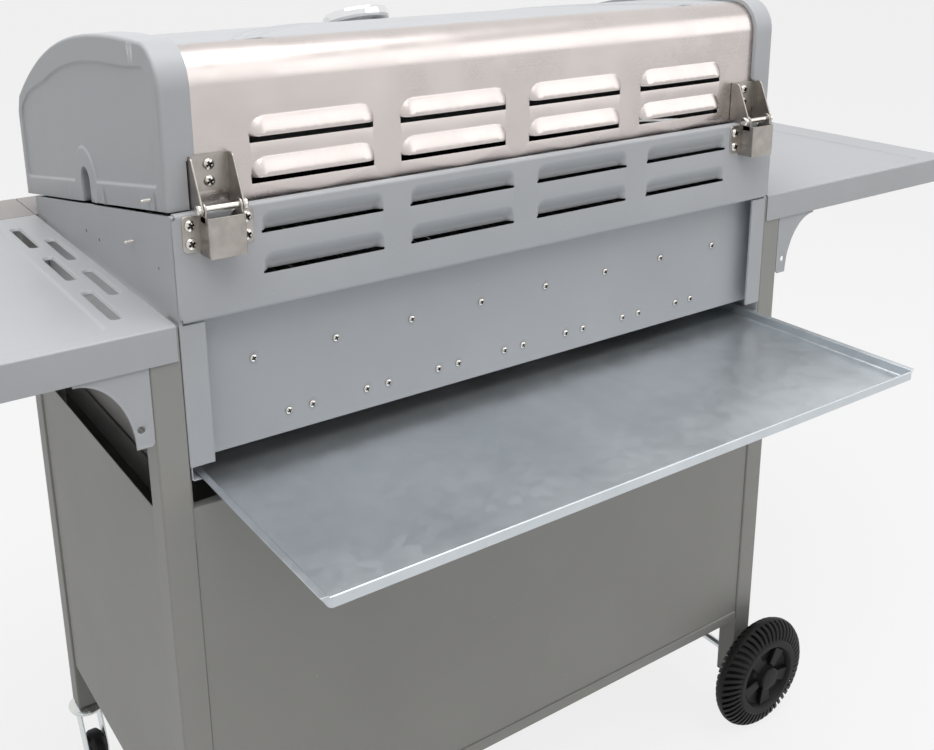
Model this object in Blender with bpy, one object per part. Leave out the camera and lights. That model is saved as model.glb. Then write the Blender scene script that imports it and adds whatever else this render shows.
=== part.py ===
"""A gas barbecue on a cart, seen mostly from behind: lid shut, grease tray drawn out to the rear.

Metres, +Z up. The origin is on the ground below the middle of the whole part. The doors and knobs
face -Y, the hinges and the grease tray face +Y. The casters are at +X and the large wheels at -X.
Places across the part are given as depths in front of the rear face of the firebox.
"""

import math

import bmesh
import bpy
from mathutils import Matrix, Vector

for old in list(bpy.data.objects):
    bpy.data.objects.remove(old, do_unlink=True)

# Sizes that several pieces share
SHELF_HEIGHT = 0.840
SHEET = 0.0012
GAP = 0.0003
OVERRUN = 0.010
ROUND_SIDES = 24
SMALL_SIDES = 12
SMOOTH_DEGREES = 40
MITER_LIMIT_SHARE = 0.3

# Firebox
FIREBOX_WIDTH = 0.840
FIREBOX_DEPTH = 0.500
FIREBOX_DROP = 0.154
REAR_RISE = 0.1075
FRONT_RISE = 0.0245
END_WALL = 0.004
TRIM_WIDTH = 0.0265
TRIM_THICKNESS = 0.003
TRIM_TOP_GAP = 0.003
PANEL_RECESS = 0.020
LEDGE = 0.014

# Louvres of the rear panel and of the lid
LOUVRE_COUNT = 4
LOUVRE_LENGTH = 0.140
LOUVRE_PITCH = 0.173
LOUVRE_SLOT = 0.007
LOUVRE_HEIGHT = 0.022
LOUVRE_REACH = 0.007
PANEL_LOUVRE_RISE = 0.0345
PANEL_LOUVRE_STEP = 0.042
LID_LOUVRE_RISE = 0.123
LID_LOUVRE_STEP = 0.041
LID_LOUVRE_HEIGHT = 0.026

# Screws of the recessed panel
SCREW_RADIUS = 0.0042
SCREW_HEAD = 0.002
UPPER_SCREW_COUNT = 8
UPPER_SCREW_PITCH = 0.0964
UPPER_SCREW_DROP = 0.061
LOWER_SCREW_COUNT = 7
LOWER_SCREW_PITCH = 0.0956
LOWER_SCREW_PAIR = 0.028
LOWER_SCREW_DROP = 0.130

# Cart frame
POST_SIZE = 0.032
POST_WALL = 0.0015
POST_PLUG = 0.060
CART_DEPTH = 0.495
CASTER_POST_FOOT = 0.105
WHEEL_POST_FOOT = 0.060
RAIL_FLANGE = 0.0135
RAIL_TOP_DROP = 0.1683
RAIL_HEIGHT = 0.032
BACK_TOP_DROP = 0.200
BACK_SET_IN = 0.004
SIDE_PANEL_DROP = 0.205
SIDE_PANEL_INSET = 0.0025
FLOOR_HEIGHT = 0.180
FLOOR_LIP = 0.015
FLOOR_FIELD_MARGIN = 0.030
CROSSBAR_DROP = 0.185
CROSSBAR_HEIGHT = 0.030
CROSSBAR_DEPTH = 0.025

# Doors
DOOR_THICKNESS = 0.015
DOOR_RIM = 0.016
DOOR_POST_GAP = 0.0045
DOOR_END_GAP = 0.002
DOOR_CENTRE_GAP = 0.0015
HINGE_PIN_RADIUS = 0.003
HINGE_PIN_DEPTH = 0.012
DOOR_HANDLE_LENGTH = 0.160
DOOR_HANDLE_REACH = 0.032
DOOR_HANDLE_BAR = 0.009
DOOR_HANDLE_WIDTH = 0.012
DOOR_HANDLE_INSET = 0.045
DOOR_HANDLE_TOP = 0.070

# Shelves, brackets and front boards
SHELF_LENGTH = 0.4295
SHELF_SIDE_GAP = 0.0035
APRON_HEIGHT = 0.037
PRESSING_SINK = 0.0015
PRESSING_START = 0.055
PRESSING_END_MARGIN = 0.058
PRESSING_REAR_MARGIN = 0.020
PRESSING_CHAMFER = 0.018
SLOT_LENGTH = 0.098
SLOT_WIDTH = 0.0095
SLOT_PITCH = 0.147
SLOT_FIRST_DEPTH = 0.102
SLOT_OUTER_PLACE = 0.039
SLOT_INNER_PLACE = 0.0162
SLOT_ROUND_SIDES = 8
GUSSET_LENGTH = 0.0725
GUSSET_TIP_HEIGHT = 0.003
GUSSET_DROP = 0.119
GUSSET_FOOT = 0.0185
GUSSET_SHEET = 0.002
GUSSET_HOLE_RADIUS = 0.004
GUSSET_HOLE_PLACE = 0.0125
GUSSET_HOLE_RISE = 0.020
GUSSET_ARC_STEPS = 10
BOARD_DEPTH = 0.1047
BOARD_HEIGHT = 0.090
CONTROL_HEIGHT = 0.130
CONTROL_SIDE_SPREAD = 0.0025
BOARD_SHEET = 0.0015
BOARD_RETURN = 0.018

# Grease tray and its rails
TRAY_INSET = 0.016
TRAY_LENGTH = 0.478
TRAY_PULL = 0.258
TRAY_HEIGHT = 0.013
TRAY_FLANGE = 0.0065
TRAY_RAIL_FOOT = 0.0115
TRAY_RAIL_INSET = 0.0023

# Wheels and axle
WHEEL_RADIUS = 0.088
WHEEL_WIDTH = 0.040
WHEEL_SPACING = 0.018
LUG_COUNT = 26
LUG_HEIGHT = 0.006
LUG_SHARE = 0.56
LUG_FLANK_SHARE = 0.04
TREAD_BAND_SHARE = 0.24
TYRE_THICKNESS = 0.043
SIDEWALL_HEIGHT = 0.015
SHOULDER_WIDTH = 0.008
SHOULDER_DROP = 0.005
FLANK_WIDTH = 0.0015
FLANK_DROP = 0.014
HUB_RADIUS = 0.018
HUB_CAP_RADIUS = 0.016
HUB_CAP_HEIGHT = 0.005
WEB_RECESS = 0.009
SPOKE_COUNT = 5
SPOKE_WIDTH = 0.020
SPOKE_RISE = 0.005
AXLE_RADIUS = 0.006
RUN_CLEARANCE = 0.0005

# Casters
CASTER_RADIUS = 0.0315
CASTER_WIDTH = 0.022
CASTER_TRAIL = 0.024
CASTER_FORK_SHEET = 0.003
CASTER_CHEEK_GAP = 0.001
CASTER_PIN_RADIUS = 0.004
CASTER_HEAD_RADIUS = 0.027
CASTER_HEAD_HEIGHT = 0.011
CASTER_CHEEK_WIDTH = 0.022
CASTER_STEM_RADIUS = 0.008
CASTER_STEM_LENGTH = 0.030

# Gas train and cooking parts
BURNER_COUNT = 4
BURNER_RADIUS = 0.0125
BURNER_DROP = 0.075
MANIFOLD_RADIUS = 0.0125
MANIFOLD_INSET = 0.050
MANIFOLD_SETBACK = 0.0505
VALVE_WIDTH = 0.024
STEM_RADIUS = 0.004
STEM_LENGTH = 0.012
INLET_RADIUS = 0.011
INLET_LENGTH = 0.030
INLET_NECK_RADIUS = 0.008
INLET_NECK_LENGTH = 0.012
KNOB_RADIUS = 0.025
KNOB_LENGTH = 0.032
KNOB_SKIRT = 0.008
KNOB_GRIP_RADIUS = 0.019
TENT_WIDTH = 0.110
TENT_RISE = 0.030
TENT_DROP = 0.042
TENT_SHEET = 0.0015
DRAIN_WIDTH = 0.040
DRAIN_MARGIN = 0.050
GRATE_COUNT = 2
GRATE_CLEARANCE = 0.003
GRATE_THICKNESS = 0.008
GRATE_BAR = 0.008
GRATE_OPENING_COUNT = 20
GRATE_FRAME = 0.010
RACK_DEPTH = 0.120
RACK_REAR_DEPTH = 0.045
RACK_RISE = 0.072
RACK_THICKNESS = 0.005
RACK_BAR = 0.005
RACK_OPENING_COUNT = 5
BUTTON_RADIUS = 0.011
BUTTON_REACH = 0.006
BUTTON_STEM_RADIUS = 0.007
BUTTON_STEM_LENGTH = 0.018
BUTTON_TRAVEL = 0.004

# Lid
LID_REAR_DEPTH = 0.015
LID_TOP_RISE = 0.260
LID_OVERHANG = 0.034
LID_CORNER_RADIUS = 0.036
LID_CROWN_REACH = 0.200
LID_NOSE_SET = 0.012
LID_NOSE_RISE = 0.150
LID_NOSE_PULL = 0.140
LID_NOSE_FALL = 0.088
LID_NOSE_ROUND = 0.020
LID_SEAM_GAP = 0.003
LID_SHEET = 0.0014
LID_LAP_DEPTH = 0.052
LID_TONGUE = 0.018
CROWN_STEPS = 10
CORNER_STEPS = 5
CAP_WIDTH = 0.032
CAP_PROUD = 0.006
CAP_ROUND = 0.005
CAP_WALL = 0.003
CAP_RELIEF_WIDTH = 0.009
CAP_RELIEF_TOP = 0.163
CAP_ROUND_STEPS = 3
NOTCH_DEPTH_PLACE = 0.265
NOTCH_WIDTH = 0.034
NOTCH_HEIGHT = 0.044
HANDLE_INSET = 0.120
HANDLE_RADIUS = 0.012
HANDLE_REACH = 0.052
HANDLE_RISE = 0.078
HANDLE_POST_WIDTH = 0.024
HANDLE_POST_INSET = 0.040
DIAL_RADIUS = 0.046
DIAL_HEIGHT = 0.018
DIAL_FOOT_RADIUS = 0.030
DIAL_FOOT_HEIGHT = 0.006
DIAL_STEM_RADIUS = 0.004
DIAL_STEM_LENGTH = 0.045
DIAL_DEPTH = 0.370
DIAL_RECESS = 0.003

# Lid hinges
HINGE_INSET = 0.046
HINGE_PIN_REACH = 0.013
HINGE_PIN_RISE = 0.113
HINGE_ROD_RADIUS = 0.004
HINGE_BOX_HALF = 0.0195
HINGE_BOX_REACH = 0.026
HINGE_BOX_LOW = 0.0665
HINGE_BOX_HIGH = 0.1065
HINGE_EAR_SHEET = 0.004
HINGE_EAR_ROUND = 0.0065
HINGE_FLANGE = 0.0175
HINGE_FLANGE_LOW = 0.069
HINGE_FLANGE_HIGH = 0.1065
HINGE_SHEET = 0.002
BRACKET_TOP = 0.160
BRACKET_CLEARANCE = 0.0008
ROD_HEAD_RADIUS = 0.0055
ROD_HEAD = 0.004
HINGE_SCREW_RISE_LOW = 0.079
HINGE_SCREW_RISE_HIGH = 0.097
BRACKET_SCREW_LOW = 0.128
BRACKET_SCREW_HIGH = 0.148

# Places worked out from the sizes above
HALF_BOX = FIREBOX_WIDTH / 2
POST_INNER = HALF_BOX + GAP
POST_OUTER = POST_INNER + POST_SIZE
POST_REAR = SHEET + GAP
SHELF_START = HALF_BOX + SHELF_SIDE_GAP
SHELF_END = SHELF_START + SHELF_LENGTH
BOARD_START = FIREBOX_DEPTH + GAP
BOARD_FRONT = BOARD_START + BOARD_DEPTH
REAR = (BOARD_FRONT + GAP + KNOB_LENGTH - TRAY_PULL) / 2
MANIFOLD_DEPTH = BOARD_FRONT - MANIFOLD_SETBACK
LID_FRONT_DEPTH = FIREBOX_DEPTH + LID_OVERHANG
LID_NOSE_DEPTH = LID_FRONT_DEPTH - LID_NOSE_SET
INSIDE = HALF_BOX - END_WALL - GAP
HINGE_PLACE = HALF_BOX - HINGE_INSET
MANIFOLD_HALF_LENGTH = HALF_BOX - MANIFOLD_INSET
HANDLE_HALF_LENGTH = HALF_BOX - HANDLE_INSET
FRONT_WALL = FIREBOX_DEPTH - GAP - SHEET
LOWER_PANEL_INNER = PANEL_RECESS + SHEET
TRAY_FLANGE_LOW = SHELF_HEIGHT - RAIL_TOP_DROP + GAP + SHEET + GAP
TRAY_TOP = TRAY_FLANGE_LOW + SHEET
WHEEL_CENTRE = (-(POST_INNER + POST_SIZE / 2), WHEEL_RADIUS)


def back(depth):
    """The Y of a place that lies this far in front of the firebox's rear face."""
    return REAR - depth


def up(rise):
    """The Z of a place that lies this far above the shelves' top."""
    return SHELF_HEIGHT + rise


def seam(depth):
    """The height of the slanting seam between firebox and lid at a depth."""
    return up(REAR_RISE + (FRONT_RISE - REAR_RISE) * depth / FIREBOX_DEPTH)


def make_material(name, colour, roughness, metallic):
    """A plain Principled material."""
    material = bpy.data.materials.new(name)
    material.use_nodes = True
    shader = material.node_tree.nodes["Principled BSDF"]
    shader.inputs["Base Color"].default_value = (*colour, 1.0)
    shader.inputs["Roughness"].default_value = roughness
    shader.inputs["Metallic"].default_value = metallic
    return material


PAINT = make_material("light_grey_paint", (0.42, 0.43, 0.44), 0.45, 0.0)
CART_PAINT = make_material("cart_grey_paint", (0.26, 0.26, 0.25), 0.5, 0.0)
STAINLESS = make_material("stainless", (0.62, 0.58, 0.55), 0.28, 1.0)
ZINC = make_material("zinc", (0.42, 0.46, 0.49), 0.4, 1.0)
BRIGHT = make_material("bright_steel", (0.72, 0.72, 0.72), 0.22, 1.0)
BLACK = make_material("black_plastic", (0.02, 0.02, 0.022), 0.55, 0.0)
IRON = make_material("cast_iron", (0.03, 0.03, 0.03), 0.6, 0.0)
CHROME = make_material("chrome", (0.8, 0.8, 0.8), 0.12, 1.0)


def object_from(name, verts, faces, material, smooth=False):
    """A named object from points and faces, with its faces turned outwards."""
    mesh = bpy.data.meshes.new(name)
    build = bmesh.new()
    points = [build.verts.new(v) for v in verts]
    for face in faces:
        build.faces.new([points[i] for i in face])
    bmesh.ops.recalc_face_normals(build, faces=build.faces)
    build.to_mesh(mesh)
    build.free()
    mesh.materials.append(material)
    if smooth:
        mesh.shade_smooth()
        mesh.set_sharp_from_angle(angle=math.radians(SMOOTH_DEGREES))
    made = bpy.data.objects.new(name, mesh)
    bpy.context.scene.collection.objects.link(made)
    return made


def place_point(axis, along, first, second):
    """A point from a place along one axis and the two others in X, Y, Z order."""
    rest = [first, second]
    rest.insert("XYZ".index(axis), along)
    return tuple(rest)


def prism(name, outline, axis, span, material, smooth=False):
    """An outline in the plane square to the axis, drawn out over the span."""
    count = len(outline)
    verts = [place_point(axis, end, *p) for end in span for p in outline]
    faces = [list(range(count)), list(range(count, 2 * count))]
    faces += [[i, (i + 1) % count, (i + 1) % count + count, i + count] for i in range(count)]
    return object_from(name, verts, faces, material, smooth)


def block(name, xs, ys, zs, material):
    """A rectangular block between two X, two Y and two Z values."""
    outline = [(xs[0], ys[0]), (xs[1], ys[0]), (xs[1], ys[1]), (xs[0], ys[1])]
    return prism(name, outline, "Z", zs, material)


def circle(centre, radius, sides=ROUND_SIDES):
    """Points round a circle."""
    turns = [math.tau * i / sides for i in range(sides)]
    return [(centre[0] + radius * math.cos(t), centre[1] + radius * math.sin(t)) for t in turns]


def arc(centre, radius, start, end, steps):
    """Points along an arc, angles in degrees."""
    turns = [math.radians(start + (end - start) * i / steps) for i in range(steps + 1)]
    return [(centre[0] + radius * math.cos(t), centre[1] + radius * math.sin(t)) for t in turns]


def rod(name, axis, centre, radius, span, material, sides=ROUND_SIDES):
    """A round bar along an axis through a centre in the plane square to it."""
    return prism(name, circle(centre, radius, sides), axis, span, material, smooth=True)


def boolean(target, tool, operation):
    """Joins, cuts or trims the target with a tool that is then removed."""
    modifier = target.modifiers.new(operation.title(), "BOOLEAN")
    modifier.operation = operation
    modifier.solver = "EXACT"
    modifier.object = tool
    bpy.context.view_layer.update()
    graph = bpy.context.evaluated_depsgraph_get()
    mesh = bpy.data.meshes.new_from_object(target.evaluated_get(graph))
    target.modifiers.clear()
    target.data = mesh
    bpy.data.objects.remove(tool, do_unlink=True)
    return target


def cut(target, *tools):
    """Takes the tools out of the target."""
    for tool in tools:
        boolean(target, tool, "DIFFERENCE")
    return target


def fuse(target, *tools):
    """Joins the tools to the target."""
    for tool in tools:
        boolean(target, tool, "UNION")
    return target


def set_origin(made, place):
    """Moves an object's origin to a place and leaves its shape where it is."""
    made.data.transform(Matrix.Translation(-Vector(place)))
    made.location = place
    return made


def band(path, thickness):
    """A closed outline that follows a path and is this thick on its left side."""
    shifted = []
    for i, (a, b) in enumerate(path):
        before = path[max(i - 1, 0)]
        after = path[min(i + 1, len(path) - 1)]
        first = Vector((a - before[0], b - before[1]))
        second = Vector((after[0] - a, after[1] - b))
        first = first.normalized() if first.length else second.normalized()
        second = second.normalized() if second.length else first
        bisector = (first + second).normalized()
        normal = Vector((-bisector.y, bisector.x))
        reach = thickness / max(normal.dot(Vector((-first.y, first.x))), MITER_LIMIT_SHARE)
        shifted.append((a + normal.x * reach, b + normal.y * reach))
    return list(path) + shifted[::-1]


def turned(name, axis, centre, rings, material, smooth=True):
    """Rings of (radius, along) pairs, one ring of pairs at each angle, joined all round."""
    count, around = len(rings[0][1]), len(rings)
    verts = []
    for angle, ring in rings:
        for radius, along in ring:
            first = centre[0] + radius * math.cos(angle)
            second = centre[1] + radius * math.sin(angle)
            verts.append(place_point(axis, along, first, second))
    faces = []
    for i in range(around):
        for j in range(count):
            here, there = i * count, (i + 1) % around * count
            after = (j + 1) % count
            faces.append([here + j, here + after, there + after, there + j])
    return object_from(name, verts, faces, material, smooth)


def lathe(name, axis, centre, profile, material, sides=ROUND_SIDES):
    """A closed profile of (radius, along) pairs turned about an axis."""
    rings = [(math.tau * i / sides, profile) for i in range(sides)]
    return turned(name, axis, centre, rings, material)


def grille(name, xs, ys, zs, open_cell, material):
    """A flat plate on a grid of X and Y lines whose open cells are left out."""
    columns, rows = len(xs) - 1, len(ys) - 1
    verts = [(x, y, z) for z in zs for y in ys for x in xs]

    def at(i, j, layer):
        return layer * len(xs) * len(ys) + j * len(xs) + i

    def solid(i, j):
        return 0 <= i < columns and 0 <= j < rows and not open_cell(i, j)

    faces = []
    for j in range(rows):
        for i in range(columns):
            if not solid(i, j):
                continue
            corners = [(i, j), (i + 1, j), (i + 1, j + 1), (i, j + 1)]
            beyond = [(i, j - 1), (i + 1, j), (i, j + 1), (i - 1, j)]
            faces.append([at(*c, 0) for c in corners])
            faces.append([at(*c, 1) for c in corners])
            for k, neighbour in enumerate(beyond):
                if not solid(*neighbour):
                    a, b = corners[k], corners[(k + 1) % 4]
                    faces.append([at(*a, 0), at(*b, 0), at(*b, 1), at(*a, 1)])
    used = sorted({v for f in faces for v in f})
    renumber = {v: n for n, v in enumerate(used)}
    faces = [[renumber[v] for v in f] for f in faces]
    return object_from(name, [verts[v] for v in used], faces, material)


def louvre_places():
    """The X of each louvre's centre."""
    middle = (LOUVRE_COUNT - 1) / 2
    return [(i - middle) * LOUVRE_PITCH for i in range(LOUVRE_COUNT)]


def add_louvres(panel, face_depth, thickness, rises, height, material):
    """Cuts louvre slots in an upright panel and joins a pressed hood above each slot."""
    face = back(face_depth)
    inner = back(face_depth + thickness)
    for rise in rises:
        for x in louvre_places():
            xs = (x - LOUVRE_LENGTH / 2, x + LOUVRE_LENGTH / 2)
            low, slot_top = up(rise), up(rise) + LOUVRE_SLOT
            ys = (inner - OVERRUN, face + OVERRUN)
            cut(panel, block("slot", xs, ys, (low, slot_top), material))
            hood = [
                (inner + thickness / 2, slot_top + GAP),
                (face + LOUVRE_REACH, slot_top),
                (face + LOUVRE_REACH + thickness, slot_top),
                (face + LOUVRE_REACH + thickness, slot_top + thickness),
                (face, low + height),
                (inner + thickness / 2, low + height),
            ]
            fuse(panel, prism("hood", hood, "X", xs, material))
    return panel


def make_posts():
    """Four square tubes with plugged feet, bored for the axle or for the casters' stems."""
    rear = (back(POST_REAR + POST_SIZE), back(POST_REAR))
    front = (back(CART_DEPTH), back(CART_DEPTH - POST_SIZE))
    top = SHELF_HEIGHT - SHEET - GAP
    for place, ys in (("rear", rear), ("front", front)):
        middle = sum(ys) / 2
        xs = (POST_INNER, POST_OUTER)
        post = make_tube("post_" + place + "_caster_end", xs, ys, (CASTER_POST_FOOT, top))
        bore_span = (CASTER_POST_FOOT - OVERRUN, CASTER_POST_FOOT + CASTER_STEM_LENGTH + GAP)
        stem_place = (POST_INNER + POST_SIZE / 2, middle)
        cut(post, rod("bore", "Z", stem_place, CASTER_STEM_RADIUS + RUN_CLEARANCE, bore_span, ZINC))
        xs = (-POST_OUTER, -POST_INNER)
        post = make_tube("post_" + place + "_wheel_end", xs, ys, (WHEEL_POST_FOOT, top))
        across = (ys[0] - OVERRUN, ys[1] + OVERRUN)
        cut(post, rod("bore", "Y", WHEEL_CENTRE, AXLE_RADIUS + GAP, across, ZINC))


def make_tube(name, xs, ys, zs):
    """A square tube, open at the top and solid for a short way above its foot."""
    post = block(name, xs, ys, zs, CART_PAINT)
    inner_xs = (xs[0] + POST_WALL, xs[1] - POST_WALL)
    inner_ys = (ys[0] + POST_WALL, ys[1] - POST_WALL)
    inner_zs = (zs[0] + POST_PLUG, zs[1] + OVERRUN)
    return cut(post, block("inside", inner_xs, inner_ys, inner_zs, CART_PAINT))


def make_cart_panels():
    """Side panels, back panel, floor, side rails and the bar above the doors."""
    side_ys = (
        back(CART_DEPTH - POST_SIZE - GAP),
        back(POST_REAR + POST_SIZE + GAP),
    )
    floor_top = FLOOR_HEIGHT
    side_zs = (floor_top, SHELF_HEIGHT - SIDE_PANEL_DROP)
    outer = POST_OUTER - SIDE_PANEL_INSET
    block("side_panel_caster_end", (outer - SHEET, outer), side_ys, side_zs, CART_PAINT)
    block("side_panel_wheel_end", (-outer, SHEET - outer), side_ys, side_zs, CART_PAINT)
    back_ys = (back(BACK_SET_IN + SHEET), back(BACK_SET_IN))
    half = POST_INNER - GAP
    back_zs = (floor_top + GAP, SHELF_HEIGHT - BACK_TOP_DROP)
    block("back_panel", (-half, half), back_ys, back_zs, CART_PAINT)
    floor_ys = (back(CART_DEPTH), back(POST_REAR))
    floor_zs = (floor_top - FLOOR_LIP, floor_top)
    floor = block("cart_floor", (-half, half), floor_ys, floor_zs, CART_PAINT)
    pin_bore = HINGE_PIN_RADIUS + RUN_CLEARANCE
    hollow_ys = (floor_ys[0] + SHEET, floor_ys[1] - SHEET)
    hollow_zs = (floor_zs[0] - OVERRUN, floor_top - SHEET)
    cut(floor, block("hollow", (SHEET - half, half - SHEET), hollow_ys, hollow_zs, CART_PAINT))
    margin = FLOOR_FIELD_MARGIN
    field_ys = (floor_ys[0] + margin, floor_ys[1] - margin)
    press_field(floor, (margin - half, half - margin), field_ys, floor_top, CART_PAINT)
    for side in (1, -1):
        pin = door_pin(side)
        floor_span = (floor_top - OVERRUN, floor_top + OVERRUN)
        cut(floor, rod("bore", "Z", pin, pin_bore, floor_span, ZINC, SMALL_SIDES))
    rail_top = SHELF_HEIGHT - RAIL_TOP_DROP - GAP
    for name, side in (("cart_rail_caster_end", 1), ("cart_rail_wheel_end", -1)):
        outline = [
            (side * half, rail_top - RAIL_HEIGHT),
            (side * half, rail_top),
            (side * (half - RAIL_FLANGE), rail_top),
            (side * (half - RAIL_FLANGE), rail_top - SHEET),
            (side * (half - SHEET), rail_top - SHEET),
            (side * (half - SHEET), rail_top - RAIL_HEIGHT),
        ]
        rail_ys = (back(CART_DEPTH), back(BACK_SET_IN + SHEET + GAP))
        prism(name, outline, "Y", rail_ys, CART_PAINT)
    bar_ys = (back(CART_DEPTH), back(CART_DEPTH - CROSSBAR_DEPTH))
    bar_zs = (up(-CROSSBAR_DROP - CROSSBAR_HEIGHT), up(-CROSSBAR_DROP))
    bar_half = half - SHEET - GAP
    bar = block("door_crossbar", (-bar_half, bar_half), bar_ys, bar_zs, CART_PAINT)
    for side in (1, -1):
        pin = door_pin(side)
        bar_span = (bar_zs[0] - OVERRUN, bar_zs[0] + HINGE_PIN_DEPTH + GAP)
        cut(bar, rod("bore", "Z", pin, pin_bore, bar_span, ZINC, SMALL_SIDES))


def door_pin(side):
    """The X and Y of a door's hinge pins."""
    edge = POST_INNER - DOOR_POST_GAP
    return (side * (edge - DOOR_THICKNESS / 2), back(CART_DEPTH - DOOR_THICKNESS / 2))


def door_zs():
    """The heights of the doors' lower and upper edges."""
    return (FLOOR_HEIGHT + DOOR_END_GAP, up(-CROSSBAR_DROP - CROSSBAR_HEIGHT) - DOOR_END_GAP)


def make_doors():
    """Two doors between the front posts, each with a bar handle and a hinge pin at each end."""
    zs = door_zs()
    ys = (back(CART_DEPTH), back(CART_DEPTH - DOOR_THICKNESS))
    for name, side in (("caster_end", 1), ("wheel_end", -1)):
        pin = door_pin(side)
        xs = sorted((side * DOOR_CENTRE_GAP, side * (POST_INNER - DOOR_POST_GAP)))
        door = block("door_" + name, xs, ys, zs, CART_PAINT)
        pan_xs = (xs[0] + DOOR_RIM, xs[1] - DOOR_RIM)
        pan_ys = (ys[0] + SHEET, ys[1] + OVERRUN)
        pan_zs = (zs[0] + DOOR_RIM, zs[1] - DOOR_RIM)
        cut(door, block("pan", pan_xs, pan_ys, pan_zs, CART_PAINT))
        for end, outward in ((zs[0], -1), (zs[1], 1)):
            reach = outward * (DOOR_END_GAP + HINGE_PIN_DEPTH)
            span = sorted((end - outward * DOOR_RIM / 2, end + reach))
            fuse(door, rod("pin", "Z", pin, HINGE_PIN_RADIUS, span, ZINC, SMALL_SIDES))
        set_origin(door, (*pin, 0))
        face = ys[0] - GAP
        top = zs[1] - DOOR_HANDLE_TOP
        path = [
            (face, top),
            (face - DOOR_HANDLE_REACH, top),
            (face - DOOR_HANDLE_REACH, top - DOOR_HANDLE_LENGTH),
            (face, top - DOOR_HANDLE_LENGTH),
        ]
        place = side * (DOOR_CENTRE_GAP + DOOR_HANDLE_INSET)
        handle_xs = (place - DOOR_HANDLE_WIDTH / 2, place + DOOR_HANDLE_WIDTH / 2)
        outline = band(path, DOOR_HANDLE_BAR)
        set_origin(prism("door_handle_" + name, outline, "X", handle_xs, CHROME), (*pin, 0))


def press_field(sheet, xs, ys, top, material):
    """Sinks a field with clipped corners into a sheet whose upper face is at this height."""
    clip = PRESSING_CHAMFER
    field = [
        (xs[0] + clip, ys[1]),
        (xs[1] - clip, ys[1]),
        (xs[1], ys[1] - clip),
        (xs[1], ys[0] + clip),
        (xs[1] - clip, ys[0]),
        (xs[0] + clip, ys[0]),
        (xs[0], ys[0] + clip),
        (xs[0], ys[1] - clip),
    ]
    middle = sum(xs) / 2
    under = [(x + math.copysign(SHEET, x - middle), y) for x, y in field]
    fuse(sheet, prism("field", under, "Z", (top - PRESSING_SINK - SHEET, top - SHEET / 2), material))
    cut(sheet, prism("sink", field, "Z", (top - PRESSING_SINK, top + OVERRUN), material))


def make_shelf(name, side):
    """A side shelf: a sheet folded down at its edges, with a sunken field and ventilation slots."""
    xs = sorted((side * SHELF_START, side * SHELF_END))
    ys = (back(FIREBOX_DEPTH), back(0))
    zs = (up(-APRON_HEIGHT), up(0))
    shelf = block(name, xs, ys, zs, PAINT)
    start, end = SHELF_START + PRESSING_START, SHELF_END - PRESSING_END_MARGIN
    rear, front = back(PRESSING_REAR_MARGIN), back(FIREBOX_DEPTH - PRESSING_REAR_MARGIN)
    inner_xs = sorted((side * (SHELF_START - OVERRUN), side * (SHELF_END - SHEET)))
    inner_ys = (ys[0] + SHEET, ys[1] - SHEET)
    hollow_zs = (zs[0] - OVERRUN, up(-SHEET))
    cut(shelf, block("hollow", inner_xs, inner_ys, hollow_zs, PAINT))
    press_field(shelf, sorted((side * start, side * end)), (front, rear), up(0), PAINT)
    places = []
    for row, place in enumerate((SLOT_OUTER_PLACE, SLOT_INNER_PLACE)):
        first = SLOT_FIRST_DEPTH + row * SLOT_PITCH / 2
        places += [(place, first + i * SLOT_PITCH) for i in range(3 - row)]
    for place, depth in places:
        x = side * (SHELF_START + place)
        half, radius = (SLOT_LENGTH - SLOT_WIDTH) / 2, SLOT_WIDTH / 2
        outline = arc((x, back(depth) + half), radius, 0, 180, SLOT_ROUND_SIDES // 2)
        outline += arc((x, back(depth) - half), radius, 180, 360, SLOT_ROUND_SIDES // 2)
        cut(shelf, prism("slot", outline, "Z", (up(-OVERRUN), up(OVERRUN)), PAINT))
    return shelf


def make_gusset(name, side):
    """The curved sheet bracket below the rear edge of one shelf."""
    start = POST_OUTER + GAP
    top, tip = up(-SHEET - GAP), up(-APRON_HEIGHT - GUSSET_TIP_HEIGHT)
    low = up(-GUSSET_DROP)
    outline = [(side * start, low), (side * start, top), (side * (start + GUSSET_LENGTH), top)]
    for i in range(GUSSET_ARC_STEPS + 1):
        turn = math.pi / 2 * i / GUSSET_ARC_STEPS
        across = GUSSET_FOOT + (GUSSET_LENGTH - GUSSET_FOOT) * (1 - math.sin(turn))
        height = low + (tip - low) * math.cos(turn)
        outline.append((side * (start + across), height))
    depth = SHEET + GAP
    bracket = prism(name, outline, "Y", (back(depth + GUSSET_SHEET), back(depth)), PAINT)
    hole = (side * (start + GUSSET_HOLE_PLACE), low + GUSSET_HOLE_RISE)
    across = (back(depth + GUSSET_SHEET + OVERRUN), back(depth - OVERRUN))
    cut(bracket, rod("hole", "Y", hole, GUSSET_HOLE_RADIUS, across, PAINT, SMALL_SIDES))


def board_outline(height):
    """The bent sheet at the front: a top, a front and a short return below."""
    path = [
        (back(BOARD_START), up(0)),
        (back(BOARD_FRONT), up(0)),
        (back(BOARD_FRONT), up(-height)),
        (back(BOARD_FRONT - BOARD_RETURN), up(-height)),
    ]
    return band(path, BOARD_SHEET)


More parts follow.
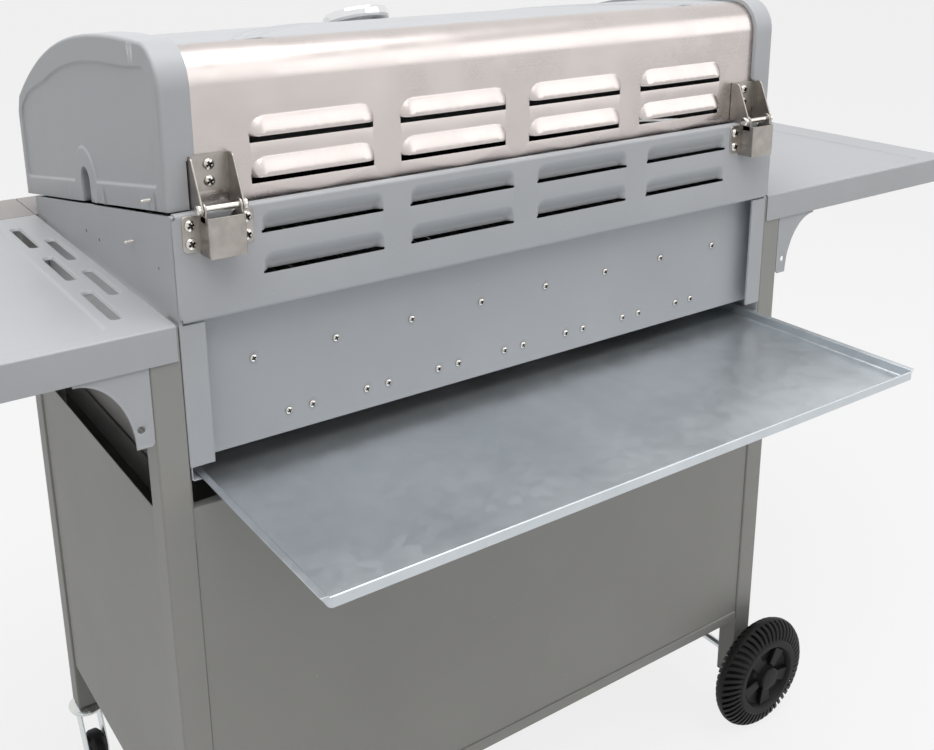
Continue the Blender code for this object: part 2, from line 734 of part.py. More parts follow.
def make_boards():
    """The control panel and the two shelf boards beside it."""
    half = HALF_BOX + CONTROL_SIDE_SPREAD
    panel = prism("control_panel", board_outline(CONTROL_HEIGHT), "X", (-half, half), PAINT)
    across = (back(BOARD_FRONT + OVERRUN), back(BOARD_FRONT - OVERRUN))
    for x in burner_places():
        hole = (x, up(-BURNER_DROP))
        cut(panel, rod("hole", "Y", hole, STEM_RADIUS + RUN_CLEARANCE, across, PAINT, SMALL_SIDES))
    hole = (0, up(-BURNER_DROP))
    hole_radius = BUTTON_STEM_RADIUS + RUN_CLEARANCE
    cut(panel, rod("hole", "Y", hole, hole_radius, across, PAINT, SMALL_SIDES))
    for name, side in (("board_caster_end", 1), ("board_wheel_end", -1)):
        xs = sorted((side * SHELF_START, side * SHELF_END))
        prism(name, board_outline(BOARD_HEIGHT), "X", xs, PAINT)


def make_button():
    """The spark button in the middle of the control panel."""
    face = back(BOARD_FRONT)
    cap_start = face - GAP - BUTTON_TRAVEL
    place = (0, up(-BURNER_DROP))
    cap_span = (cap_start - BUTTON_REACH, cap_start)
    button = rod("igniter_button", "Y", place, BUTTON_RADIUS, cap_span, BLACK)
    stem_span = (cap_start - GAP, face + BUTTON_STEM_LENGTH)
    fuse(button, rod("stem", "Y", place, BUTTON_STEM_RADIUS, stem_span, BLACK, SMALL_SIDES))


def make_firebox_ends():
    """The end frames of the firebox, each with its rear trim flange and the tray's rail below."""
    path = [
        (back(POST_REAR), up(-FIREBOX_DROP)),
        (back(POST_REAR), seam(POST_REAR)),
        (back(FIREBOX_DEPTH), seam(FIREBOX_DEPTH)),
        (back(FIREBOX_DEPTH), up(-FIREBOX_DROP)),
    ]
    for name, side in (("firebox_end_caster", 1), ("firebox_end_wheel", -1)):
        xs = sorted((side * (HALF_BOX - END_WALL), side * HALF_BOX))
        frame = prism(name, path, "X", xs, PAINT)
        trim_xs = sorted((side * (HALF_BOX - TRIM_WIDTH), side * (HALF_BOX - END_WALL / 2)))
        trim_ys = (back(POST_REAR + TRIM_THICKNESS), back(POST_REAR))
        trim_zs = (up(-FIREBOX_DROP), up(-TRIM_TOP_GAP))
        fuse(frame, block("trim", trim_xs, trim_ys, trim_zs, PAINT))
        top = up(-FIREBOX_DROP) + OVERRUN
        low = SHELF_HEIGHT - RAIL_TOP_DROP
        outer = HALF_BOX - TRAY_RAIL_INSET
        outline = [
            (side * outer, top),
            (side * outer, low),
            (side * (outer - TRAY_RAIL_FOOT), low),
            (side * (outer - TRAY_RAIL_FOOT), low + SHEET),
            (side * (outer - SHEET), low + SHEET),
            (side * (outer - SHEET), top),
        ]
        rail_ys = (back(FIREBOX_DEPTH), back(POST_REAR + GAP))
        fuse(frame, prism("rail", outline, "Y", rail_ys, PAINT))


def make_rear_panels():
    """The louvred panel with its inner ledge, and the recessed panel below it."""
    path = [
        (back(PANEL_RECESS - GAP), up(0)),
        (back(0), up(0)),
        (back(0), up(REAR_RISE)),
    ]
    xs = (-HALF_BOX, HALF_BOX)
    panel = prism("rear_louvre_panel", band(path, SHEET), "X", xs, PAINT)
    rises = (PANEL_LOUVRE_RISE, PANEL_LOUVRE_RISE + PANEL_LOUVRE_STEP)
    add_louvres(panel, 0, SHEET, rises, LOUVRE_HEIGHT, PAINT)
    side_gap = HALF_BOX - INSIDE
    for side in (1, -1):
        notch_xs = sorted((side * INSIDE, side * (HALF_BOX + OVERRUN)))
        notch_ys = (back(PANEL_RECESS + OVERRUN), back(POST_REAR - GAP / 2))
        notch_zs = (up(-OVERRUN), up(side_gap))
        cut(panel, block("notch", notch_xs, notch_ys, notch_zs, PAINT))
    lower_ys = (back(LOWER_PANEL_INNER), back(PANEL_RECESS))
    lower_zs = (up(-FIREBOX_DROP), up(SHEET))
    lower = block("rear_lower_panel", (-INSIDE, INSIDE), lower_ys, lower_zs, PAINT)
    head_span = (back(PANEL_RECESS) - SHEET / 2, back(PANEL_RECESS) + SCREW_HEAD)
    for place in panel_screw_places():
        fuse(lower, rod("head", "Y", place, SCREW_RADIUS, head_span, BRIGHT, SMALL_SIDES))


def panel_screw_places():
    """The X and Z of the screws in the recessed panel: single ones above, pairs below."""
    places = []
    for i in range(UPPER_SCREW_COUNT):
        x = (i - (UPPER_SCREW_COUNT - 1) / 2) * UPPER_SCREW_PITCH
        places.append((x, up(-UPPER_SCREW_DROP)))
    for i in range(LOWER_SCREW_COUNT):
        middle = (i - (LOWER_SCREW_COUNT - 1) / 2) * LOWER_SCREW_PITCH
        for x in (middle - LOWER_SCREW_PAIR / 2, middle + LOWER_SCREW_PAIR / 2):
            places.append((x, up(-LOWER_SCREW_DROP)))
    return places


def burner_places():
    """The X of each burner, valve and knob."""
    middle = (BURNER_COUNT - 1) / 2
    return [(i - middle) * 2 * LOWER_SCREW_PITCH for i in range(BURNER_COUNT)]


def make_front_wall():
    """The firebox's front wall with a ledge for the grates and holes for the burners."""
    ledge_top = up(SHEET)
    outline = [
        (back(FRONT_WALL + SHEET), up(-FIREBOX_DROP)),
        (back(FRONT_WALL + SHEET), seam(FIREBOX_DEPTH) - SHEET),
        (back(FRONT_WALL), seam(FIREBOX_DEPTH) - SHEET),
        (back(FRONT_WALL), ledge_top),
        (back(FRONT_WALL - LEDGE), ledge_top),
        (back(FRONT_WALL - LEDGE), ledge_top - SHEET),
        (back(FRONT_WALL), ledge_top - SHEET),
        (back(FRONT_WALL), up(-FIREBOX_DROP)),
    ]
    wall = prism("firebox_front_wall", outline, "X", (-INSIDE, INSIDE), PAINT)
    across = (back(FIREBOX_DEPTH + OVERRUN), back(FRONT_WALL - OVERRUN))
    for x in burner_places():
        hole = (x, up(-BURNER_DROP))
        cut(wall, rod("hole", "Y", hole, BURNER_RADIUS + GAP, across, PAINT))


def make_gas_train():
    """Burners, heat tents, manifold with valves, gas inlet and knobs."""
    height = up(-BURNER_DROP)
    rear_end = back(LOWER_PANEL_INNER + GAP)
    front_end = back(MANIFOLD_DEPTH - MANIFOLD_RADIUS - GAP)
    path = [(INSIDE, up(-TENT_DROP))]
    for number, x in reversed(list(enumerate(burner_places(), 1))):
        name = "burner_" + str(number)
        rod(name, "Y", (x, height), BURNER_RADIUS, (front_end, rear_end), STAINLESS)
        path.append((x + TENT_WIDTH / 2, up(-TENT_DROP)))
        path.append((x, up(-TENT_DROP + TENT_RISE)))
        path.append((x - TENT_WIDTH / 2, up(-TENT_DROP)))
    path.append((-INSIDE, up(-TENT_DROP)))
    span = (back(FRONT_WALL - GAP), rear_end)
    heat_plate = prism("heat_plate", band(path, TENT_SHEET), "Y", span, STAINLESS)
    middles = [x + LOWER_SCREW_PITCH for x in burner_places()[:-1]]
    for x in middles:
        xs = (x - DRAIN_WIDTH / 2, x + DRAIN_WIDTH / 2)
        ys = (span[0] + DRAIN_MARGIN, span[1] - DRAIN_MARGIN)
        zs = (up(-TENT_DROP - OVERRUN), up(-TENT_DROP + OVERRUN))
        cut(heat_plate, block("drain", xs, ys, zs, STAINLESS))
    centre = (back(MANIFOLD_DEPTH), height)
    pipe_span = (-MANIFOLD_HALF_LENGTH, MANIFOLD_HALF_LENGTH)
    manifold = rod("manifold", "X", centre, MANIFOLD_RADIUS, pipe_span, ZINC)
    inner_face = back(BOARD_FRONT - BOARD_SHEET - GAP)
    knob_face = back(BOARD_FRONT + GAP)
    for x in burner_places():
        xs = (x - VALVE_WIDTH / 2, x + VALVE_WIDTH / 2)
        zs = (height - VALVE_WIDTH / 2, height + VALVE_WIDTH / 2)
        fuse(manifold, block("valve", xs, (inner_face, back(MANIFOLD_DEPTH)), zs, ZINC))
        stem_span = (knob_face - STEM_LENGTH, inner_face + VALVE_WIDTH / 2)
        fuse(manifold, rod("stem", "Y", (x, height), STEM_RADIUS, stem_span, ZINC, SMALL_SIDES))
    inlet_start = -MANIFOLD_HALF_LENGTH - GAP
    neck_end = inlet_start - INLET_LENGTH
    inlet_span = (neck_end, inlet_start)
    inlet = rod("gas_inlet", "X", centre, INLET_RADIUS, inlet_span, BRIGHT, SMALL_SIDES)
    neck_span = (neck_end - INLET_NECK_LENGTH, inlet_start - GAP)
    fuse(inlet, rod("neck", "X", centre, INLET_NECK_RADIUS, neck_span, BRIGHT, SMALL_SIDES))
    for number, x in enumerate(burner_places(), 1):
        front = knob_face - KNOB_LENGTH
        bore = STEM_RADIUS + RUN_CLEARANCE
        bore_end = knob_face - STEM_LENGTH - GAP
        name = "knob_" + str(number)
        skirt_span = (knob_face - KNOB_SKIRT, knob_face)
        knob = rod(name, "Y", (x, height), KNOB_RADIUS, skirt_span, BLACK)
        grip_span = (front, knob_face - KNOB_SKIRT / 2)
        fuse(knob, rod("grip", "Y", (x, height), KNOB_GRIP_RADIUS, grip_span, BLACK))
        bore_span = (bore_end, knob_face + OVERRUN)
        cut(knob, rod("bore", "Y", (x, height), bore, bore_span, BLACK, SMALL_SIDES))
        set_origin(knob, (x, knob_face, height))


def make_grates():
    """Two cooking grates on the ledges and a warming rack between the end frames."""
    rear_y = back(SHEET + GRATE_CLEARANCE)
    front_y = back(FRONT_WALL - GRATE_CLEARANCE)
    low = up(SHEET + GAP)
    width = (2 * INSIDE - (GRATE_COUNT + 1) * GRATE_CLEARANCE) / GRATE_COUNT
    for number in range(GRATE_COUNT):
        start = -INSIDE + GRATE_CLEARANCE + number * (width + GRATE_CLEARANCE)
        opening = (width - 2 * GRATE_FRAME + GRATE_BAR) / GRATE_OPENING_COUNT - GRATE_BAR
        xs = [start]
        for i in range(GRATE_OPENING_COUNT):
            left = start + GRATE_FRAME + i * (opening + GRATE_BAR)
            xs += [left, left + opening]
        xs.append(start + width)
        middle = (rear_y + front_y) / 2
        ys = [
            front_y,
            front_y + GRATE_FRAME + LEDGE,
            middle - GRATE_BAR / 2,
            middle + GRATE_BAR / 2,
            rear_y - GRATE_FRAME - PANEL_RECESS,
            rear_y,
        ]
        zs = (low, low + GRATE_THICKNESS)
        grille("grate_" + str(number + 1), xs, ys, zs, lambda i, j: i % 2 and j % 2, IRON)
    opening = (RACK_DEPTH - RACK_BAR) / RACK_OPENING_COUNT - RACK_BAR
    rear = back(RACK_REAR_DEPTH)
    ys = [rear - RACK_DEPTH]
    for i in range(RACK_OPENING_COUNT):
        first = rear - RACK_DEPTH + RACK_BAR + i * (opening + RACK_BAR)
        ys += [first, first + opening]
    ys.append(rear)
    third = 2 * INSIDE / 3
    half_bar = RACK_BAR / 2
    xs = [
        -INSIDE,
        -INSIDE + RACK_BAR,
        -third / 2 - half_bar,
        -third / 2 + half_bar,
        third / 2 - half_bar,
        third / 2 + half_bar,
        INSIDE - RACK_BAR,
        INSIDE,
    ]
    zs = (up(RACK_RISE - RACK_THICKNESS), up(RACK_RISE))
    grille("warming_rack", xs, ys, zs, lambda i, j: i % 2 and j % 2, CHROME)


def make_tray():
    """The grease tray, drawn out to the rear on the rails of the firebox ends."""
    rear, front = TRAY_PULL, TRAY_LENGTH - TRAY_PULL
    ys = (back(front), back(-rear))
    half = HALF_BOX - TRAY_INSET
    bottom = TRAY_TOP - TRAY_HEIGHT
    tray = block("grease_tray", (-half, half), ys, (bottom, TRAY_TOP), ZINC)
    for side in (1, -1):
        flange_xs = sorted((side * (half - SHEET), side * (half + TRAY_FLANGE)))
        fuse(tray, block("flange", flange_xs, ys, (TRAY_FLANGE_LOW, TRAY_TOP), ZINC))
    inner_xs = (SHEET - half, half - SHEET)
    inner_ys = (ys[0] + SHEET, ys[1] - SHEET)
    inner_zs = (bottom + SHEET, TRAY_TOP + OVERRUN)
    cut(tray, block("hollow", inner_xs, inner_ys, inner_zs, ZINC))


def wheel_rings(rear_face):
    """The wheel's closed section at each angle, from the bore round the crowned tread and back."""
    front_face = rear_face - WHEEL_WIDTH
    middle = (rear_face + front_face) / 2
    half_band = WHEEL_WIDTH * TREAD_BAND_SHARE / 2
    bore = AXLE_RADIUS + RUN_CLEARANCE
    rim = WHEEL_RADIUS - TYRE_THICKNESS
    cap = rear_face + HUB_CAP_HEIGHT
    turns = []
    for i in range(LUG_COUNT):
        start = math.tau * i / LUG_COUNT
        slope = math.tau * LUG_FLANK_SHARE / LUG_COUNT
        end = start + math.tau * LUG_SHARE / LUG_COUNT
        after = start + math.tau / LUG_COUNT
        turns += [(start, 1), (end, 1), (end + slope, 0), (after - slope, 0)]
    rings = []
    for angle, high in turns:
        valley = 0 if high else LUG_HEIGHT
        shoulder = WHEEL_RADIUS - SHOULDER_DROP - valley
        flank = WHEEL_RADIUS - FLANK_DROP - valley / 2
        ring = [
            (bore, front_face),
            (HUB_RADIUS, front_face),
            (HUB_RADIUS, front_face + WEB_RECESS),
            (rim, front_face + WEB_RECESS),
            (rim, front_face),
            (rim + SIDEWALL_HEIGHT, front_face),
            (flank, front_face + FLANK_WIDTH),
            (shoulder, front_face + SHOULDER_WIDTH),
            (WHEEL_RADIUS, middle - half_band),
            (WHEEL_RADIUS, middle + half_band),
            (shoulder, rear_face - SHOULDER_WIDTH),
            (flank, rear_face - FLANK_WIDTH),
            (rim + SIDEWALL_HEIGHT, rear_face),
            (rim, rear_face),
            (rim, rear_face - WEB_RECESS),
            (HUB_RADIUS, rear_face - WEB_RECESS),
            (HUB_RADIUS, rear_face),
            (HUB_CAP_RADIUS, cap),
            (bore, cap),
        ]
        rings.append((angle, ring))
    return rings


def make_wheel(name, inner_y, outward):
    """One lugged plastic wheel with ribs between hub and rim on its outer side."""
    x, z = WHEEL_CENTRE
    outer = WHEEL_WIDTH
    wheel = turned(name, "Y", (x, z), wheel_rings(outer), BLACK)
    rib_ys = (outer - WEB_RECESS - GAP, outer - WEB_RECESS + SPOKE_RISE)
    for i in range(SPOKE_COUNT):
        turn = math.tau * i / SPOKE_COUNT
        along = Vector((math.cos(turn), math.sin(turn)))
        across = Vector((-math.sin(turn), math.cos(turn)))
        near, far = HUB_RADIUS - GAP, WHEEL_RADIUS - TYRE_THICKNESS + GAP
        corners = []
        for reach, shift in ((near, -1), (far, -1), (far, 1), (near, 1)):
            point = Vector((x, z)) + along * reach + across * shift * SPOKE_WIDTH / 2
            corners.append(tuple(point))
        fuse(wheel, prism("rib", corners, "Y", rib_ys, BLACK))
    if outward < 0:
        wheel.data.transform(Matrix.Scale(-1, 4, (0, 1, 0)))
        wheel.data.flip_normals()
    wheel.data.transform(Matrix.Translation((0, inner_y, 0)))
    set_origin(wheel, (x, inner_y, z))


def make_running_gear():
    """The two wheels on their axle and the two swivel casters."""
    x, z = WHEEL_CENTRE
    rear_inner = back(POST_REAR) + WHEEL_SPACING
    front_inner = back(CART_DEPTH) - WHEEL_SPACING
    make_wheel("wheel_rear", rear_inner, 1)
    make_wheel("wheel_front", front_inner, -1)
    end = WHEEL_WIDTH + HUB_CAP_HEIGHT - GAP
    axle = rod("axle", "Y", (x, z), AXLE_RADIUS, (front_inner - end, rear_inner + end), ZINC)
    collar = AXLE_RADIUS + HUB_CAP_HEIGHT
    spans = [
        (back(POST_REAR) + GAP, rear_inner - GAP),
        (front_inner + GAP, back(CART_DEPTH) - GAP),
    ]
    for span in spans:
        fuse(axle, rod("collar", "Y", (x, z), collar, span, ZINC))
    rear_y = back(POST_REAR + POST_SIZE / 2)
    front_y = back(CART_DEPTH - POST_SIZE / 2)
    make_caster("rear", rear_y)
    make_caster("front", front_y)


def make_caster(place, y):
    """One swivel caster below a post: its fork turns on the stem, its wheel trails to +Y."""
    x = POST_INNER + POST_SIZE / 2
    top = CASTER_POST_FOOT - GAP
    head_low = top - CASTER_HEAD_HEIGHT
    wheel_y = y + CASTER_TRAIL
    fork = rod("caster_fork_" + place, "Z", (x, y), CASTER_HEAD_RADIUS, (head_low, top), ZINC)
    stem_span = (head_low + GAP, CASTER_POST_FOOT + CASTER_STEM_LENGTH)
    fuse(fork, rod("stem", "Z", (x, y), CASTER_STEM_RADIUS, stem_span, ZINC, SMALL_SIDES))
    inner = CASTER_WIDTH / 2 + CASTER_CHEEK_GAP
    outer = inner + CASTER_FORK_SHEET
    half = CASTER_CHEEK_WIDTH / 2
    outline = [
        (y - half, head_low + GAP),
        (wheel_y - half, CASTER_RADIUS - half / 2),
        (wheel_y, CASTER_RADIUS - half),
        (wheel_y + half, CASTER_RADIUS - half / 2),
        (y + half, head_low + GAP),
        (y + half, top - GAP),
        (y - half, top - GAP),
    ]
    pin = (wheel_y, CASTER_RADIUS)
    for side in (1, -1):
        span = sorted((x + side * inner, x + side * outer))
        fuse(fork, prism("cheek", outline, "X", span, ZINC))
    pin_span = (x - outer, x + outer)
    fuse(fork, rod("pin", "X", pin, CASTER_PIN_RADIUS, pin_span, ZINC, SMALL_SIDES))
    set_origin(fork, (x, y, top))
    bore = CASTER_PIN_RADIUS + RUN_CLEARANCE
    half_wide = CASTER_WIDTH / 2
    shoulder = half_wide / 2
    profile = [
        (bore, x - half_wide),
        (CASTER_RADIUS - shoulder, x - half_wide),
        (CASTER_RADIUS, x - shoulder),
        (CASTER_RADIUS, x + shoulder),
        (CASTER_RADIUS - shoulder, x + half_wide),
        (bore, x + half_wide),
    ]
    wheel = lathe("caster_wheel_" + place, "X", pin, profile, BLACK)
    set_origin(wheel, (x, *pin))


def lid_path(offset):
    """The lid's outline from rear bottom over the top to front bottom, moved outwards by offset."""
    rear, top = LID_REAR_DEPTH, LID_TOP_RISE
    radius = LID_CORNER_RADIUS
    points = [(rear, 0.0)]
    points += arc((rear + radius, top - radius), radius, 180, 90, CORNER_STEPS)
    start = Vector((rear + radius, top))
    pull = Vector((rear + radius + LID_CROWN_REACH, top))
    nose = Vector((LID_NOSE_DEPTH, LID_NOSE_RISE))
    lead = nose + Vector((-LID_NOSE_PULL, LID_NOSE_FALL))
    for i in range(1, CROWN_STEPS + 1):
        t = i / CROWN_STEPS
        s = 1 - t
        point = start * s**3 + pull * 3 * s * s * t + lead * 3 * s * t * t + nose * t**3
        points.append((point.x, point.y))
    points.append((LID_FRONT_DEPTH, LID_NOSE_RISE - LID_NOSE_ROUND))
    points.append((LID_FRONT_DEPTH, 0.0))
    if offset:
        outline = band(points, offset)
        points = outline[len(points):][::-1]
    return [(back(depth), up(rise)) for depth, rise in points]


def under_lid(xs):
    """A cutter that takes away all below the lid's slanting lower edge."""
    low = up(-OVERRUN - REAR_RISE)
    rear, front = -OVERRUN, LID_FRONT_DEPTH + OVERRUN
    outline = [
        (back(rear), low),
        (back(rear), seam(rear) + LID_SEAM_GAP),
        (back(front), seam(front) + LID_SEAM_GAP),
        (back(front), low),
    ]
    return prism("below", outline, "X", xs, PAINT)


def loft(name, sections, material):
    """Closed outlines at several X values, joined into one solid."""
    count = len(sections[0][1])
    verts = [(x, *p) for x, outline in sections for p in outline]
    faces = [list(range(count)), [i + count * (len(sections) - 1) for i in range(count)]]
    for k in range(len(sections) - 1):
        for i in range(count):
            after = (i + 1) % count
            here, there = k * count, (k + 1) * count
            faces.append([here + i, here + after, there + after, there + i])
    return object_from(name, verts, faces, material, smooth=True)


def make_cap(name, side):
    """A lid end cap: a plate with a round edge, a rim with a hinge relief, and a slot."""
    outer_x, inner_x = HALF_BOX, HALF_BOX - CAP_WIDTH
    sections = [(side * inner_x, lid_path(CAP_PROUD))]
    for i in range(CAP_ROUND_STEPS + 1):
        turn = math.pi / 2 * i / CAP_ROUND_STEPS
        x = outer_x - CAP_ROUND * (1 - math.sin(turn))
        inset = CAP_ROUND * (1 - math.cos(turn))
        sections.append((side * x, lid_path(CAP_PROUD - inset)))
    cap = loft(name, sections, PAINT)
    inside = lid_path(GAP)
    deep = lid_path(min(GAP, CAP_PROUD - CAP_ROUND))
    hollow = [
        (side * (inner_x - OVERRUN), inside),
        (side * (outer_x - CAP_ROUND), inside),
        (side * (outer_x - CAP_WALL), deep),
    ]
    cut(cap, loft("hollow", hollow, PAINT))
    cut(cap, under_lid((side * (inner_x - OVERRUN), side * (outer_x + OVERRUN))))
    relief_xs = sorted((side * (inner_x - OVERRUN), side * (inner_x + CAP_RELIEF_WIDTH)))
    relief_ys = (back(LID_REAR_DEPTH + CAP_PROUD), back(-OVERRUN))
    relief_zs = (up(-OVERRUN), up(CAP_RELIEF_TOP))
    cut(cap, block("relief", relief_xs, relief_ys, relief_zs, PAINT))
    middle = back(NOTCH_DEPTH_PLACE)
    top = seam(NOTCH_DEPTH_PLACE) + NOTCH_HEIGHT
    half = NOTCH_WIDTH / 2
    notch = [(middle - half, up(-OVERRUN)), (middle + half, up(-OVERRUN))]
    notch += arc((middle, top - half), half, 0, 180, SMALL_SIDES)
    notch_xs = sorted((side * (outer_x - CAP_WALL - CAP_ROUND / 2), side * (outer_x + OVERRUN)))
    cut(cap, prism("notch", notch, "X", notch_xs, PAINT))
    set_origin(cap, hinge_place())


def hinge_place():
    """A point on the lid's hinge axis."""
    return (0, back(-HINGE_PIN_REACH), up(HINGE_PIN_RISE))


def crown_point(depth):
    """The point and outward direction of the lid's top at a depth."""
    path = lid_path(0)
    for (y1, z1), (y2, z2) in zip(path, path[1:]):
        if y2 < back(depth) <= y1 and y2 != y1:
            share = (back(depth) - y1) / (y2 - y1)
            along = Vector((0, y2 - y1, z2 - z1)).normalized()
            normal = Vector((0, along.z, -along.y))
            return Vector((0, back(depth), z1 + share * (z2 - z1))), normal
    return None


def make_lid():
    """The lid: painted top and front, stainless rear, end caps, handle and dial."""
    half = HALF_BOX - CAP_ROUND - GAP
    path = lid_path(0)
    lap = back(LID_LAP_DEPTH)
    top_path = [(y, z) for y, z in path if y < lap]
    top_path.insert(0, (lap, up(LID_TOP_RISE)))
    shell = prism("lid_shell", band(top_path, LID_SHEET), "X", (-half, half), PAINT, smooth=True)
    cut(shell, under_lid((-half - OVERRUN, half + OVERRUN)))
    corner = [(y, z) for y, z in path if y > lap]
    top = up(LID_TOP_RISE)
    edge = lap + GAP
    outline = band(corner + [(edge, top)], LID_SHEET)
    sheet = prism("lid_rear_sheet", outline, "X", (-half, half), STAINLESS, smooth=True)
    tongue_top = top - LID_SHEET - 2 * GAP
    tongue = [
        (edge + 2 * LID_SHEET, top - LID_SHEET / 2),
        (edge, top - LID_SHEET / 2),
        (edge, tongue_top),
        (edge - LID_TONGUE, tongue_top),
        (edge - LID_TONGUE, tongue_top - LID_SHEET),
        (edge + 2 * LID_SHEET, tongue_top - LID_SHEET),
    ]
    fuse(sheet, prism("tongue", tongue, "X", (-half, half), STAINLESS))
    cut(sheet, under_lid((-half - OVERRUN, half + OVERRUN)))
    rises = (LID_LOUVRE_RISE, LID_LOUVRE_RISE + LID_LOUVRE_STEP)
    add_louvres(sheet, LID_REAR_DEPTH, LID_SHEET, rises, LID_LOUVRE_HEIGHT, STAINLESS)
    set_origin(sheet, hinge_place())
    make_cap("lid_cap_caster_end", 1)
    make_cap("lid_cap_wheel_end", -1)
    make_dial(shell)
    make_handle()
    set_origin(shell, hinge_place())


def make_dial(shell):
    """The round thermometer on the lid's slope, its stem through the shell."""
    foot, normal = crown_point(DIAL_DEPTH)
    base = CAP_PROUD / 2
    stem = DIAL_STEM_RADIUS
    top = base + DIAL_FOOT_HEIGHT + DIAL_HEIGHT
    profile = [
        (0, -DIAL_STEM_LENGTH),
        (stem, -DIAL_STEM_LENGTH),
        (stem, base),
        (DIAL_FOOT_RADIUS, base),
        (DIAL_FOOT_RADIUS, base + DIAL_FOOT_HEIGHT),
        (DIAL_RADIUS, base + DIAL_FOOT_HEIGHT),
        (DIAL_RADIUS, top),
        (DIAL_RADIUS - DIAL_RECESS, top),
        (DIAL_RADIUS - DIAL_RECESS, top - DIAL_RECESS),
        (0, top - DIAL_RECESS),
    ]
    turn = Vector((0, 0, 1)).rotation_difference(normal).to_matrix().to_4x4()
    frame = Matrix.Translation(foot) @ turn
    dial = spun("thermometer", profile, frame, BRIGHT)
    bore = [(0, -OVERRUN), (stem + GAP, -OVERRUN), (stem + GAP, OVERRUN), (0, OVERRUN)]
    cut(shell, spun("bore", bore, frame, PAINT))
    set_origin(dial, hinge_place())


def spun(name, profile, frame, material, sides=ROUND_SIDES):
    """A profile of (radius, along) pairs from axis to axis, turned about a frame's own Z."""
    verts, rows = [], []
    for radius, along in profile:
        if radius == 0:
            rows.append([len(verts)] * sides)
            verts.append(frame @ Vector((0, 0, along)))
            continue
        rows.append(list(range(len(verts), len(verts) + sides)))
        for i in range(sides):
            turn = math.tau * i / sides
            verts.append(frame @ Vector((radius * math.cos(turn), radius * math.sin(turn), along)))
    faces = []
    for low, high in zip(rows, rows[1:]):
        for i in range(sides):
            after = (i + 1) % sides
            corners = [low[i], low[after], high[after], high[i]]
            faces.append([v for n, v in enumerate(corners) if v not in corners[:n]])
    return object_from(name, verts, faces, material, smooth=True)


def make_handle():
    """The lid's bar handle on two posts."""
    centre = (back(LID_FRONT_DEPTH + HANDLE_REACH), up(HANDLE_RISE))
    span = (-HANDLE_HALF_LENGTH, HANDLE_HALF_LENGTH)
    handle = rod("lid_handle", "X", centre, HANDLE_RADIUS, span, CHROME)
    for side in (1, -1):
        x = side * (HANDLE_HALF_LENGTH - HANDLE_POST_INSET)
        half = HANDLE_POST_WIDTH / 2
        ys = (centre[0], back(LID_FRONT_DEPTH) - GAP)
        zs = (centre[1] - half, centre[1] + half)
        fuse(handle, block("post", (x - half, x + half), ys, zs, CHROME))
    set_origin(handle, hinge_place())


def make_hinges():
    """Hinge boxes on the firebox, channel brackets on the lid, rods and screws."""
    pin_y, pin_z = back(-HINGE_PIN_REACH), up(HINGE_PIN_RISE)
    face, outer = back(0) + GAP, back(0) + HINGE_BOX_REACH
    cheek_in = HINGE_BOX_HALF + RUN_CLEARANCE
    cheek_out = cheek_in + HINGE_SHEET
    for name, side in (("caster_end", 1), ("wheel_end", -1)):
        x = side * HINGE_PLACE
        low, high = up(HINGE_BOX_LOW), up(HINGE_BOX_HIGH)
        box_xs = (x - HINGE_BOX_HALF, x + HINGE_BOX_HALF)
        base = block("hinge_base_" + name, box_xs, (face, outer), (low, high), STAINLESS)
        spread = HINGE_BOX_HALF + HINGE_FLANGE
        flange_ys = (face, face + HINGE_SHEET)
        flange_zs = (up(HINGE_FLANGE_LOW), up(HINGE_FLANGE_HIGH))
        fuse(base, block("flange", (x - spread, x + spread), flange_ys, flange_zs, STAINLESS))
        ear = [(pin_y + HINGE_EAR_ROUND, high - HINGE_SHEET)]
        ear += arc((pin_y, pin_z), HINGE_EAR_ROUND, 0, 180, SMALL_SIDES)
        ear += [(pin_y - HINGE_EAR_ROUND, high - HINGE_SHEET)]
        reach = cheek_out + ROD_HEAD
        for way in (1, -1):
            ear_xs = sorted((x + way * (HINGE_BOX_HALF - HINGE_EAR_SHEET), x + way * HINGE_BOX_HALF))
            fuse(base, prism("ear", ear, "X", ear_xs, STAINLESS))
            for rise in (HINGE_SCREW_RISE_LOW, HINGE_SCREW_RISE_HIGH):
                place = (x + way * (HINGE_BOX_HALF + HINGE_FLANGE / 2), up(rise))
                span = (face + HINGE_SHEET / 2, face + HINGE_SHEET + SCREW_HEAD)
                fuse(base, rod("screw", "Y", place, SCREW_RADIUS, span, BRIGHT, SMALL_SIDES))
        bore = HINGE_ROD_RADIUS + RUN_CLEARANCE
        cut(base, rod("bore", "X", (pin_y, pin_z), bore, (x - reach, x + reach), ZINC))
        make_lid_bracket("lid_bracket_" + name, x, cheek_in, cheek_out)


